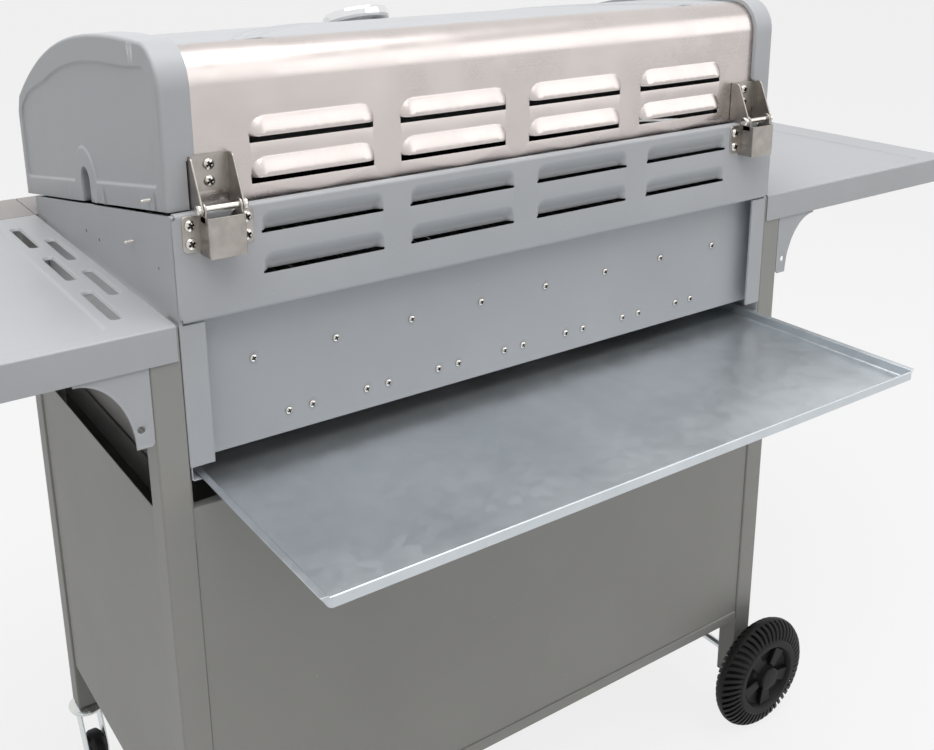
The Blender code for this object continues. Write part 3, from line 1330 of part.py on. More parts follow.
def make_lid_bracket(name, x, cheek_in, cheek_out):
    """The channel on the lid's rear with its two cheeks, screws and the rod through the hinge box."""
    pin_y, pin_z = back(-HINGE_PIN_REACH), up(HINGE_PIN_RISE)
    lid_face = back(LID_REAR_DEPTH) + GAP
    plate_y = lid_face + HINGE_SHEET
    floor = up(REAR_RISE) + LID_SEAM_GAP
    plate_zs = (floor, up(BRACKET_TOP))
    plate = block(name, (x - cheek_out, x + cheek_out), (lid_face, plate_y), plate_zs, STAINLESS)
    lowest = up(REAR_RISE) + BRACKET_CLEARANCE
    cheek = [
        (lid_face, floor),
        (lid_face, up(BRACKET_TOP)),
        (plate_y + HINGE_SHEET, up(BRACKET_TOP)),
        (pin_y + HINGE_EAR_ROUND, pin_z + HINGE_EAR_ROUND),
        (pin_y + HINGE_EAR_ROUND, lowest),
        (back(0), lowest),
    ]
    for way in (1, -1):
        cheek_xs = sorted((x + way * cheek_in, x + way * cheek_out))
        fuse(plate, prism("cheek", cheek, "X", cheek_xs, STAINLESS))
        head_span = sorted((x + way * cheek_in, x + way * (cheek_out + ROD_HEAD)))
        fuse(plate, rod("head", "X", (pin_y, pin_z), ROD_HEAD_RADIUS, head_span, BRIGHT, SMALL_SIDES))
    rod_span = (x - cheek_out, x + cheek_out)
    fuse(plate, rod("rod", "X", (pin_y, pin_z), HINGE_ROD_RADIUS, rod_span, BRIGHT))
    for rise in (BRACKET_SCREW_LOW, BRACKET_SCREW_HIGH):
        span = (plate_y - HINGE_SHEET / 2, plate_y + SCREW_HEAD)
        fuse(plate, rod("screw", "Y", (x, up(rise)), SCREW_RADIUS, span, BRIGHT, SMALL_SIDES))
    set_origin(plate, hinge_place())


make_posts()
make_cart_panels()
make_doors()
make_shelf("shelf_caster_end", 1)
make_shelf("shelf_wheel_end", -1)
make_gusset("gusset_caster_end", 1)
make_gusset("gusset_wheel_end", -1)
make_boards()
make_button()
make_firebox_ends()
make_rear_panels()
make_front_wall()
make_gas_train()
make_grates()
make_tray()
make_running_gear()
make_lid()
make_hinges()
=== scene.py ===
"""A gas barbecue on a cart: the finished surfaces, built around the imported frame."""

import math

import bmesh
import bpy
from bpy.props import FloatProperty, FloatVectorProperty, IntProperty, PointerProperty
from mathutils import Matrix, Vector
from mathutils.geometry import delaunay_2d_cdt


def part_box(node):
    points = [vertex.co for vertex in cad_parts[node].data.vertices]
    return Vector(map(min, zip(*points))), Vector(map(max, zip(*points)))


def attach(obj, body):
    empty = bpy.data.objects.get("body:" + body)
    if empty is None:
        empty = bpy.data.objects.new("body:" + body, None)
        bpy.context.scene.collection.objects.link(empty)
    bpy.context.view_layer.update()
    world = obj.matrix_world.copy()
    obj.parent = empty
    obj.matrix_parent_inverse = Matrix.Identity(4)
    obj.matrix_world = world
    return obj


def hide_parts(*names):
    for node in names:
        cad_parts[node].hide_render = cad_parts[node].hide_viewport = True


bl_info = {
    "name": "Cart Barbecue",
    "version": (1, 0, 0),
    "blender": (4, 5, 0),
    "location": "View3D > Sidebar > Barbecue",
    "description": "Builds the finished surfaces of a gas barbecue on a cart, and its studio",
    "category": "Add Mesh",
}

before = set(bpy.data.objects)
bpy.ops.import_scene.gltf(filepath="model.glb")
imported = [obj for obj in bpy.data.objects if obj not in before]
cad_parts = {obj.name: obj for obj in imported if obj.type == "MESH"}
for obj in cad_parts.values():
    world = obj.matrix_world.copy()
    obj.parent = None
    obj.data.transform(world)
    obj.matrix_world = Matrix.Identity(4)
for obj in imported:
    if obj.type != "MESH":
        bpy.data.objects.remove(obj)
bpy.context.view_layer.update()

# Places and lengths that the finished pieces share
SHELF_TOP = round(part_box("post_rear_caster_end")[1].z + 0.0015, 4)
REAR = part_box("rear_louvre_panel")[0].y + 0.0197
SHEET = 0.0012
WALL, LID_HALF, SHELF_START, HINGE_PLACE = 0.42, 0.4146, 0.4235, 0.374
PANEL_FRONT, LID_FRONT, CART_REAR, CART_FRONT = 0.605, 0.534, 0.0015, 0.495
LOUVRE_PITCH = 0.173
KNOB_PITCH, KNOB_RISE = 0.1912, -0.075
KNOB_PLACES = [(i - 1.5) * KNOB_PITCH for i in range(4)]
DOOR_PIN = (0.4083, -0.29785)
AXLE = (-0.4363, 0.088)
ENDS = (("caster_end", 1), ("wheel_end", -1))
MATERIALS = {}


def back(depth):
    """The Y of a place this far in front of the firebox's rear face."""
    return REAR - depth


def up(rise):
    """The Z of a place this far above the shelves' top."""
    return SHELF_TOP + rise


LID_PIN = (back(-0.013), up(0.113))

# Node maths


def socket_sum(operation, swapped=False):
    """A method that adds a Math node for two sockets or numbers."""

    def act(self, other):
        first, second = (other, self) if swapped else (self, other)
        return self.node("ShaderNodeMath", {"operation": operation}, i0=first, i1=second)

    return act


class Wave:
    """A node socket that takes part in Python sums, each of which adds a Math node."""

    def __init__(self, tree, socket):
        self.tree, self.socket = tree, socket

    def node(self, kind, settings=None, out=0, **inputs):
        """Adds a node of a type with its settings, values and links, and wraps one output."""
        made = self.tree.nodes.new(kind)
        for key, value in (settings or {}).items():
            setattr(made, key, value)
        for key, value in inputs.items():
            name = int(key[1:]) if key[0] == "i" and key[1:].isdigit() else key.replace("_", " ")
            target = made.inputs[name]
            if isinstance(value, Wave):
                self.tree.links.new(value.socket, target)
            else:
                target.default_value = value
        return Wave(self.tree, made.outputs[out])

    __add__, __radd__ = socket_sum("ADD"), socket_sum("ADD", True)
    __sub__, __rsub__ = socket_sum("SUBTRACT"), socket_sum("SUBTRACT", True)
    __mul__, __rmul__ = socket_sum("MULTIPLY"), socket_sum("MULTIPLY", True)
    __gt__ = socket_sum("GREATER_THAN")

    def noise(self, scale, detail=2.0, roughness=0.5, stretch=(1, 1, 1)):
        """Noise on these coordinates, centred on one half."""
        place = self.node("ShaderNodeMapping", i0=self, i3=stretch)
        return self.node("ShaderNodeTexNoise", Vector=place, Scale=scale, Detail=detail, Roughness=roughness)

    def cells(self, scale, out="Distance"):
        """Voronoi cells on these coordinates."""
        place = self.node("ShaderNodeMapping", i0=self)
        return self.node("ShaderNodeTexVoronoi", None, out, Vector=place, Scale=scale)

    def between(self, low, high):
        """The share of the way from one value to another, held between 0 and 1."""
        ends = {"From_Min": low, "From_Max": high}
        return self.node("ShaderNodeMapRange", {"clamp": True}, **ends, Value=self)

    def tint(self, first, second):
        """A colour that runs from the first to the second by this share."""
        ends = {"i6": (*first, 1), "i7": (*second, 1)}
        return self.node("ShaderNodeMix", {"data_type": "RGBA"}, 2, i0=self, **ends)


class Finish:
    """A material under construction: its shader, its coordinates and the height of its surface."""

    def __init__(self, name, roughness=0.5, metallic=0.0, specular=0.5):
        self.material = bpy.data.materials.new(name)
        self.material.use_nodes = True
        self.tree = self.material.node_tree
        self.shader = self.tree.nodes["Principled BSDF"]
        self.place = Wave(self.tree, self.tree.nodes.new("ShaderNodeTexCoord").outputs["Object"])
        self.set("Roughness", roughness)
        self.set("Metallic", metallic)
        self.set("Specular IOR Level", specular)
        MATERIALS[name] = self.material

    def set(self, name, value):
        """Sets one of the shader's sockets to a value, a colour or a wave."""
        target = self.shader.inputs[name]
        if isinstance(value, Wave):
            self.tree.links.new(value.socket, target)
        else:
            target.default_value = (*value, 1) if isinstance(value, tuple) else value

    def relief(self, height, depth):
        """Bumps the surface by a height wave, in metres."""
        self.set("Normal", height.node("ShaderNodeBump", Height=height, Distance=depth))


def shade(colour, factor):
    """A colour made lighter or darker."""
    return tuple(min(1.0, c * factor) for c in colour)


def powder_coat(name, colour, roughness):
    """Satin powder coat: orange peel, a faint mottle, and specks of dust."""
    made = Finish(name, roughness, specular=0.45)
    mottle = made.place.noise(7.0, 3.0).between(0.3, 0.7)
    peel = made.place.noise(900.0, 2.0)
    wave = made.place.noise(16.0, 1.0)
    dust = 1 - made.place.cells(38.0).between(0.014, 0.028)
    base = mottle.tint(shade(colour, 0.965), shade(colour, 1.03))
    dusty = {"i0": dust * 0.55, "i6": base, "i7": (0.86, 0.87, 0.9, 1)}
    made.set("Base Color", base.node("ShaderNodeMix", {"data_type": "RGBA"}, 2, **dusty))
    made.set("Roughness", roughness - 0.05 + mottle * 0.06 + peel * 0.06)
    made.relief(peel * 0.25 + wave * 8.0, 0.0001)


def rolled_steel(name, colour, roughness, brushed=1.0, clouds=1.0):
    """Bare sheet steel: rolling lines along X, cloudy patches and shallow waves; in the colour the cloudy patches are
    painted reflection, lighter and darker as if the sheet mirrored blurred surroundings.
    """
    made = Finish(name, roughness, 1.0)
    lines = made.place.noise(1.0, 3.0, 0.6, (6.0, 900.0, 900.0))
    cloud_and_reflection = made.place.noise(5.0, 4.0, 0.55).between(0.32, 0.72)
    smudge = made.place.noise(19.0, 5.0, 0.65).between(0.45, 0.75)
    # The colour runs lighter and darker with the cloudy patches as painted reflection, and with the rolling lines as
    # the sheet's grain
    made.set("Base Color", (cloud_and_reflection * 0.7 + lines * 0.3).tint(shade(colour, 0.93), shade(colour, 1.06)))
    grade = roughness + (cloud_and_reflection - 0.5) * (0.07 * clouds) + (lines - 0.5) * (0.12 * brushed)
    made.set("Roughness", grade + smudge * (0.06 * clouds))
    wave = made.place.noise(4.5, 1.0)
    made.relief(lines * (0.22 * brushed) + wave * (26.0 * clouds), 0.0001)
    return made


def inked(name, roughness, scale, first, second):
    """A printed colour that wanders a little between two tones."""
    made = Finish(name, roughness)
    made.set("Base Color", made.place.noise(scale).tint(first, second))
    return made


def make_finishes(sizes):
    """Every material of the grill."""
    powder_coat("light_paint", sizes.paint, 0.42)
    # The cart's coat is darker than the light coat: partly its own colour, partly painted shade for the dimmer light
    # low down and under the tray
    powder_coat("cart_paint", sizes.cart_paint, 0.46)
    powder_coat("front_paint", sizes.front_paint, 0.4)
    rolled_steel("lid_steel", sizes.steel, 0.3, 1.0, 2.2)
    rolled_steel("bare_steel", (0.5, 0.49, 0.48), 0.34, 0.8, 0.3)
    rolled_steel("chrome", (0.78, 0.78, 0.79), 0.1, 0.1, 0.05)
    screw = rolled_steel("screw_steel", (0.62, 0.59, 0.55), 0.15, 0.1, 0.1)
    # The faces marked deep, inside the cross recess, get a near-black colour: painted shade in the recess
    deep = screw.place.node("ShaderNodeAttribute", {"attribute_name": "deep"}, "Fac")
    painted_recess_shade = deep * 0.92 + screw.place.noise(300.0) * 0.08
    screw.set("Base Color", painted_recess_shade.tint((0.66, 0.63, 0.59), (0.03, 0.028, 0.026)))

    grit = Finish("hinge_steel", 0.34, 1.0)
    grain = grit.place.noise(1300.0, 2.0, 0.7)
    tone = grit.place.noise(60.0, 4.0).between(0.3, 0.7)
    grit.set("Base Color", (grain * 0.6 + tone * 0.4).tint((0.25, 0.232, 0.214), (0.54, 0.505, 0.47)))
    grit.set("Roughness", 0.28 + grain * 0.2)
    grit.relief(grain, 0.00006)

    tray = Finish("galvanised", 0.3, 0.85)
    cells = tray.place.cells(70.0, out="Color")
    spangle = cells.node("ShaderNodeSeparateColor", i0=cells)
    clouds = tray.place.noise(4.0, 4.0, 0.6).between(0.3, 0.7)
    streak = tray.place.noise(1.0, 3.0, 0.6, (14.0, 2.2, 14.0)).between(0.3, 0.75)
    mix = clouds * 0.5 + streak * 0.35 + spangle * 0.15
    tray.set("Base Color", mix.tint((0.52, 0.56, 0.59), (0.68, 0.72, 0.75)))
    tray.set("Roughness", 0.27 + clouds * 0.08 + spangle * 0.05)
    tray.relief(tray.place.noise(9.0, 1.0) * 20.0 + spangle * 0.2, 0.0001)

    zinc = Finish("zinc_plate", 0.25, 1.0)
    rainbow = zinc.place.noise(55.0, 2.0).between(0.3, 0.7)
    zinc.set("Base Color", rainbow.tint((0.56, 0.62, 0.66), (0.72, 0.72, 0.68)))
    zinc.set("Roughness", 0.2 + rainbow * 0.12)
    zinc.relief(zinc.place.noise(500.0, 2.0), 0.00003)

    plastic = Finish("wheel_plastic", 0.5, specular=0.25)
    leather = plastic.place.noise(700.0, 3.0)
    dusty = plastic.place.noise(28.0, 4.0, 0.65).between(0.42, 0.75)
    plastic.set("Base Color", dusty.tint((0.005, 0.005, 0.005), (0.016, 0.015, 0.0145)))
    plastic.set("Roughness", 0.42 + leather * 0.2 + dusty * 0.1)
    plastic.relief(leather, 0.00012)

    knob = Finish("knob_plastic", 0.32)
    swirl = knob.place.noise(400.0, 2.0)
    knob.set("Base Color", swirl.tint((0.012, 0.012, 0.013), (0.02, 0.02, 0.021)))
    knob.set("Roughness", 0.28 + swirl * 0.12)
    knob.relief(swirl, 0.00004)

    iron = Finish("grate_iron", 0.5, specular=0.5)
    sand = iron.place.noise(420.0, 4.0, 0.7)
    worn = iron.place.noise(30.0, 3.0).between(0.4, 0.7)
    iron.set("Base Color", worn.tint((0.016, 0.016, 0.017), (0.04, 0.038, 0.036)))
    iron.set("Roughness", 0.38 + sand * 0.3)
    iron.relief(sand, 0.0003)

    brass = Finish("brass", 0.28, 1.0)
    tarnish = brass.place.noise(80.0, 3.0).between(0.3, 0.7)
    brass.set("Base Color", tarnish.tint((0.56, 0.42, 0.19), (0.72, 0.58, 0.31)))
    brass.relief(brass.place.noise(600.0), 0.00004)

    white = inked("dial_white", 0.4, 60.0, (0.72, 0.72, 0.7), (0.8, 0.8, 0.78))
    white.relief(white.place.noise(500.0), 0.00003)
    inked("dial_ink", 0.45, 300.0, (0.02, 0.02, 0.02), (0.035, 0.033, 0.03))
    inked("dial_red", 0.4, 200.0, (0.5, 0.03, 0.02), (0.6, 0.05, 0.03))
    inked("mark_white", 0.5, 300.0, (0.66, 0.66, 0.64), (0.76, 0.76, 0.74))

    glass = Finish("dial_glass", 0.04)
    glass.set("Base Color", (0.98, 0.99, 0.99))
    glass.set("Transmission Weight", 1.0)
    glass.set("IOR", 1.08)
    glass.relief(glass.place.noise(20.0, 1.0), 0.00005)


# Shapes


def linked(name, data):
    """A new object in the scene."""
    made = bpy.data.objects.new(name, data)
    bpy.context.scene.collection.objects.link(made)
    return made


def drop(made):
    """Removes an object that has served its turn."""
    bpy.data.objects.remove(made, do_unlink=True)


def object_from(name, verts, faces, material):
    """A mesh object from its points and faces."""
    mesh = bpy.data.meshes.new(name)
    mesh.from_pydata([tuple(v) for v in verts], [], [tuple(f) for f in faces])
    mesh.materials.append(MATERIALS[material])
    return linked(name, mesh)


def shifted(made, *by):
    """Moves an object's mesh."""
    made.data.transform(Matrix.Translation(by))
    return made


def spun(made, degrees, axis):
    """Turns an object's mesh about an axis through the origin."""
    made.data.transform(Matrix.Rotation(math.radians(degrees), 4, axis))
    return made


def face_outwards(made):
    """Merges doubled points and turns every face of a closed shape outwards."""
    build = bmesh.new()
    build.from_mesh(made.data)
    bmesh.ops.remove_doubles(build, verts=build.verts, dist=1e-6)
    bmesh.ops.recalc_face_normals(build, faces=build.faces)
    build.to_mesh(made.data)
    build.free()
    return made


def modify(made, kind, **settings):
    """Adds a modifier with its settings."""
    modifier = made.modifiers.new(kind.title(), kind)
    for key, value in settings.items():
        setattr(modifier, key, value)
    return modifier


def plain_mesh(made):
    """The mesh that an object's modifiers or letters make."""
    bpy.context.view_layer.update()
    return bpy.data.meshes.new_from_object(made.evaluated_get(bpy.context.evaluated_depsgraph_get()))


def applied(made):
    """Leaves an object with the mesh that its modifiers make."""
    mesh = plain_mesh(made)
    made.modifiers.clear()
    made.data = mesh
    return made


def settle(made, sharp=32, weighted=True):
    """Applies every modifier, and shades the result smooth but for its sharp edges."""
    made.data.shade_smooth()
    made.data.set_sharp_from_angle(angle=math.radians(sharp))
    if weighted:
        modify(made, "WEIGHTED_NORMAL", keep_sharp=True)
    return applied(made)


def bevelled(made, width=0.0004, segments=2, angle=30):
    """Rounds the edges of a closed shape and settles it."""
    modify(made, "BEVEL", width=width, segments=segments, limit_method="ANGLE", angle_limit=math.radians(angle))
    return settle(made)


def rod(name, axis, centre, span, radius, material, sides, soft=0.0):
    """A plain turned rod from one end of its span to the other, with its edges rounded by soft."""
    profile = [(0, span[0]), (radius, span[0]), (radius, span[1]), (0, span[1])]
    return turned(name, axis, centre, soft_profile(profile, soft, 2) if soft else profile, material, sides)


def boolean(target, tool):
    """Cuts a tool out of an object and removes the tool."""
    modify(target, "BOOLEAN", operation="DIFFERENCE", object=tool, solver="EXACT")
    applied(target)
    drop(tool)


def joined(name, parts):
    """Several objects joined into one piece."""
    first = parts[0]
    with bpy.context.temp_override(active_object=first, selected_editable_objects=parts):
        bpy.ops.object.join()
    first.name = name
    return first


def hand_over(made, body, slot, *nodes):
    """Lets a piece ride on its body and stand for CAD nodes."""
    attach(made, body)
    if nodes:
        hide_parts(*nodes)
    return made


def spot(axis, along, first, second):
    """A point from its place along an axis and the two others in X, Y, Z order."""
    rest = [first, second]
    rest.insert("XYZ".index(axis), along)
    return Vector(rest)


def prism(name, outline, axis, span, material):
    """An outline drawn out along an axis into a closed shape."""
    count = len(outline)
    verts = [spot(axis, end, *p) for end in span for p in outline]
    faces = [list(range(count))[::-1], list(range(count, 2 * count))]
    faces += [[i, (i + 1) % count, (i + 1) % count + count, i + count] for i in range(count)]
    return face_outwards(object_from(name, verts, faces, material))


def plate(name, outline, axis, span, material, *edge):
    """An outline drawn out along an axis, with its edges rounded."""
    return bevelled(prism(name, outline, axis, span, material), *edge)


def block(name, xs, ys, zs, material):
    """A rectangular block."""
    outline = [(xs[0], ys[0]), (xs[1], ys[0]), (xs[1], ys[1]), (xs[0], ys[1])]
    return prism(name, outline, "Z", sorted(zs), material)


def arc(centre, radius, start, end, steps):
    """Points along an arc, angles in degrees."""
    turns = [math.radians(start + (end - start) * i / steps) for i in range(steps + 1)]
    return [(centre[0] + radius * math.cos(t), centre[1] + radius * math.sin(t)) for t in turns]


def rounded(path, radius, steps=4, closed=False):
    """A path whose corners are rounded."""
    made = []
    count = len(path)
    for i, here in enumerate(path):
        here = Vector(here)
        if not closed and i in (0, count - 1):
            made.append(here)
            continue
        before, after = Vector(path[i - 1]) - here, Vector(path[(i + 1) % count]) - here
        angle = before.angle(after)
        reach = min(radius / math.tan(angle / 2), before.length * 0.49, after.length * 0.49)
        start, end = here + before.normalized() * reach, here + after.normalized() * reach
        for k in range(steps + 1):
            t = k / steps
            made.append(start * (1 - t) ** 2 + here * (2 * t * (1 - t)) + end * t**2)
    return made


def band(path, thickness):
    """A closed outline along a path, this thick on its left side."""
    beside = []
    for i, here in enumerate(path):
        here = Vector(here)
        first = here - Vector(path[max(i - 1, 0)])
        second = Vector(path[min(i + 1, len(path) - 1)]) - here
        first = first.normalized() if first.length else second.normalized()
        second = second.normalized() if second.length else first
        bisector = (first + second).normalized()
        normal = Vector((-bisector.y, bisector.x))
        beside.append(here + normal * (thickness / max(0.3, normal.dot(Vector((-first.y, first.x))))))
    return [Vector(p) for p in path] + beside[::-1]


def turned(name, axis, centre, profile, material, sides=48, sharp=35):
    """A profile of (radius, along) pairs turned about an axis; it may start and end on it."""
    verts, rows = [], []
    for radius, along in profile:
        if radius < 1e-7:
            rows.append([len(verts)] * sides)
            verts.append(spot(axis, along, *centre))
            continue
        rows.append(list(range(len(verts), len(verts) + sides)))
        for first, second in arc(centre, radius, 0, 360 - 360 / sides, sides - 1):
            verts.append(spot(axis, along, first, second))
    closed = profile[0][0] >= 1e-7
    faces = []
    for low, high in zip(rows, rows[1:] + (rows[:1] if closed else [])):
        for i in range(sides):
            after = (i + 1) % sides
            ring = [low[i], low[after], high[after], high[i]]
            ring = [v for n, v in enumerate(ring) if v not in ring[:n]]
            if len(ring) > 2:
                faces.append(ring)
    return settle(face_outwards(object_from(name, verts, faces, material)), sharp, False)


def soft_profile(profile, radius, steps=3):
    """A turned profile with its corners rounded."""
    return [tuple(p) for p in rounded(profile, radius, steps)]


def inside(point, loop):
    """Whether a point lies in a closed loop."""
    x, y = point
    found = False
    for (x1, y1), (x2, y2) in zip(loop, loop[1:] + loop[:1]):
        if (y1 > y) != (y2 > y) and x < (x2 - x1) * (y - y1) / (y2 - y1) + x1:
            found = not found
    return found


def gap_to(point, path, closed=True):
    """The distance from a point to a path."""
    x, y = point
    best = 1e9
    pairs = zip(path, path[1:] + path[:1]) if closed else zip(path, path[1:])
    for (x1, y1), (x2, y2) in pairs:
        dx, dy = x2 - x1, y2 - y1
        length = dx * dx + dy * dy
        t = max(0, min(1.0, ((x - x1) * dx + (y - y1) * dy) / length)) if length else 0.0
        best = min(best, (x - x1 - t * dx) ** 2 + (y - y1 - t * dy) ** 2)
    return math.sqrt(best)


def resampled(loop, spacing):
    """A closed loop with points no further apart than the spacing."""
    made = []
    for a, b in zip(loop, loop[1:] + loop[:1]):
        a, b = Vector(a), Vector(b)
        steps = max(1, math.ceil((b - a).length / spacing - 1e-6))
        made += [tuple(a.lerp(b, k / steps)) for k in range(steps)]
    return made


def offset_loop(loop, distance):
    """A closed anticlockwise loop moved inwards by a distance."""
    made = []
    for i, here in enumerate(loop):
        here = Vector(here)
        first = (here - Vector(loop[i - 1])).normalized()
        second = (Vector(loop[(i + 1) % len(loop)]) - here).normalized()
        bisector = (first + second).normalized()
        normal = Vector((-bisector.y, bisector.x))
        made.append(tuple(here + normal * (distance / max(0.5, normal.dot(Vector((-first.y, first.x)))))))
    return made


def slot_loop(centre, size, radius, steps=4):
    """A rounded rectangle, anticlockwise."""
    u, v = size[0] / 2, size[1] / 2
    corners = [(-u, -v), (u, -v), (u, v), (-u, v)]
    points = rounded([(centre[0] + a, centre[1] + b) for a, b in corners], radius, steps, True)
    return [tuple(p) for p in points]


def box_loop(low, high, trim, radius, steps=4):
    """A rounded rectangle between two corners, trimmed all round."""
    centre = ((low[0] + high[0]) / 2, (low[1] + high[1]) / 2)
    return slot_loop(centre, (high[0] - low[0] - 2 * trim, high[1] - low[1] - 2 * trim), radius, steps)


def pressed_sheet(name, outline, place, material, press=None, holes=(), points=(), **cut):
    """A flat pattern meshed with its holes and extra points, pressed, skirted and given its thickness."""
    skirt, bare, limit, reach = (cut.get(key) for key in ("skirt", "bare", "limit", "reach"))
    loops = [resampled([tuple(p) for p in outline], cut.get("spacing", 0.02))]
    loops += [[tuple(p) for p in hole] for hole in holes]
    verts, edges = [], []
    for loop in loops:
        start = len(verts)
        verts += [Vector(p) for p in loop]
        edges += [(start + i, start + (i + 1) % len(loop)) for i in range(len(loop))]
    for line in cut.get("lines", ()):
        start = len(verts)
        verts += [Vector(p) for p in line]
        edges += [(start + i, start + i + 1) for i in range(len(line) - 1)]
    verts += [Vector(p) for p in points]
    coords, _, faces, origins, *_ = delaunay_2d_cdt(verts, edges, [], 0, 1e-7)
    place_of = {old: new for new, group in enumerate(origins) for old in group}
    spans = [(min(x for x, _ in h), max(x for x, _ in h), h) for h in loops[1:]]
    kept = []
    for face in faces:
        middle = sum((coords[i] for i in face), Vector((0, 0))) / len(face)
        if any(a < middle.x < b and inside(middle, hole) for a, b, hole in spans):
            continue
        if inside(middle, loops[0]):
            kept.append(list(face))
    solid = [place(*p, press(*p) if press else 0) for p in coords]
    count = len(loops[0])
    rows = [[place_of[i] for i in range(count)]]
    for out, drop in skirt or ():
        row = []
        for i, here in enumerate(loops[0]):
            ways = []
            for a, b in ((loops[0][i - 1], here), (here, loops[0][(i + 1) % count])):
                if not (bare and bare(*a) and bare(*b)):
                    edge = (Vector(b) - Vector(a)).normalized()
                    ways.append(Vector((edge.y, -edge.x)))
            way = sum(ways, Vector((0, 0)))
            way = way.normalized() if way.length else Vector((0, 0))
            spot_out = Vector(here) + way * out * (reach(*here) if reach else 1)
            row.append(len(solid))
            solid.append(place(*spot_out, -min(drop, limit(*here)) if limit else -drop))
        rows.append(row)
    for near, far in zip(rows, rows[1:]):
        for i in range(count):
            after = (i + 1) % count
            if near[after] != near[i] and not (bare and bare(*loops[0][i]) and bare(*loops[0][after])):
                kept.append([near[after], near[i], far[i], far[after]])
    probe = loops[0][0]
    u_way = place(probe[0] + 1e-4, probe[1], 0) - place(*probe, 0)
    v_way = place(probe[0], probe[1] + 1e-4, 0) - place(*probe, 0)
    if u_way.cross(v_way).dot(place(*probe, 1e-4) - place(*probe, 0)) < 0:
        kept = [face[::-1] for face in kept]
    made = object_from(name, solid, kept, material)
    build = bmesh.new()
    build.from_mesh(made.data)
    bmesh.ops.delete(build, geom=[v for v in build.verts if not v.link_faces], context="VERTS")
    bmesh.ops.dissolve_degenerate(build, edges=build.edges, dist=1e-7)
    build.to_mesh(made.data)
    build.free()
    modify(made, "SOLIDIFY", thickness=cut.get("thickness", SHEET), offset=-1.0)
    return settle(made)


def follow(path, way=1):
    """Turns a length along a path and a height above it into a point; the way picks the upper side."""
    path = [Vector(p) for p in path]
    lengths = [0.0]
    for a, b in zip(path, path[1:]):
        lengths.append(lengths[-1] + (b - a).length)
    edges = [(b - a).normalized() for a, b in zip(path, path[1:])]
    normals = [Vector((-e.y, e.x)) * way for e in edges]
    joints = [normals[0]] + [(a + b).normalized() for a, b in zip(normals, normals[1:])] + [normals[-1]]

    def at(length, height=0.0):
        i = 0
        while i < len(edges) - 1 and length > lengths[i + 1]:
            i += 1
        share = (length - lengths[i]) / (lengths[i + 1] - lengths[i])
        point = path[i] + (path[i + 1] - path[i]) * share
        held = min(1.0, max(0, share))
        return point + joints[i].lerp(joints[i + 1], held) * height

    return at, lengths


def over(at):
    """Places a pattern's points on a followed path, across X."""
    return lambda u, v, h: Vector((u, *at(v, h)))


def fold_lines(lengths, low, high, spacing=0.04):
    """Lines across a pattern at each length, which its mesh keeps as edges for the bends."""
    steps = max(2, round((high - low) / spacing))
    low, high = low + 0.0002, high - 0.0002
    return [[(low + (high - low) * k / steps, s) for k in range(steps + 1)] for s in lengths]


def eased(share):
    """A share held between 0 and 1, with a soft start and end."""
    share = min(1.0, max(0, share))
    return share * share * (3 - 2 * share)


def rings_of(loop, distances, spacing):
    """Points along copies of a loop moved inwards by each distance."""
    made = []
    for distance in distances:
        made += resampled(offset_loop(loop, distance), spacing)
    return made


# Repeats


def copies_tree():
    """A Geometry Nodes tree that sets copies of an object in a row or round an axis."""
    tree = bpy.data.node_groups.new("Copies", "GeometryNodeTree")
    face = tree.interface
    face.new_socket("Geometry", in_out="INPUT", socket_type="NodeSocketGeometry")
    kinds = {"Copy": "Object", "Count": "Int", "Start": "Vector", "Step": "Vector", "Turn": "Vector"}
    for name, kind in (kinds | {"Material": "Material"}).items():
        face.new_socket(name, in_out="INPUT", socket_type="NodeSocket" + kind)
    face.new_socket("Geometry", in_out="OUTPUT", socket_type="NodeSocketGeometry")

    given = {socket.name: Wave(tree, socket) for socket in tree.nodes.new("NodeGroupInput").outputs}
    index = Wave(tree, tree.nodes.new("GeometryNodeInputIndex").outputs["Index"])

    def scaled(name):
        return index.node("ShaderNodeVectorMath", {"operation": "SCALE"}, i0=given[name], Scale=index)

    points = index.node("GeometryNodePoints", Count=given["Count"])
    total = index.node("ShaderNodeVectorMath", i0=scaled("Step"), i1=given["Start"])
    placed = index.node("GeometryNodeSetPosition", Geometry=points, Position=total)
    shown = index.node("GeometryNodeObjectInfo", None, "Geometry", Object=given["Copy"])
    spread = placed.node("GeometryNodeInstanceOnPoints", Points=placed, Instance=shown, Rotation=scaled("Turn"))
    real = spread.node("GeometryNodeRealizeInstances", Geometry=spread)
    painted = real.node("GeometryNodeSetMaterial", Geometry=real, Material=given["Material"])
    tree.links.new(painted.socket, tree.nodes.new("NodeGroupOutput").inputs[0])
    return tree


def copies(name, copy, count, start=(0, 0, 0), step=(0, 0, 0), turn=(0, 0, 0), keep=False):
    """Copies of an object, which is modelled about the world's origin, in a row or round an axis."""
    tree = bpy.data.node_groups.get("Copies") or copies_tree()
    made = linked(name, bpy.data.meshes.new(name))
    modifier = modify(made, "NODES", node_group=tree)
    values = {"Copy": copy, "Count": count, "Material": copy.data.materials[0]}
    values |= {"Start": Vector(start), "Step": Vector(step), "Turn": Vector(turn)}
    for item in tree.interface.items_tree:
        if item.in_out == "INPUT" and item.name in values:
            modifier[item.identifier] = values[item.name]
    applied(made)
    if not keep:
        drop(copy)
    return made


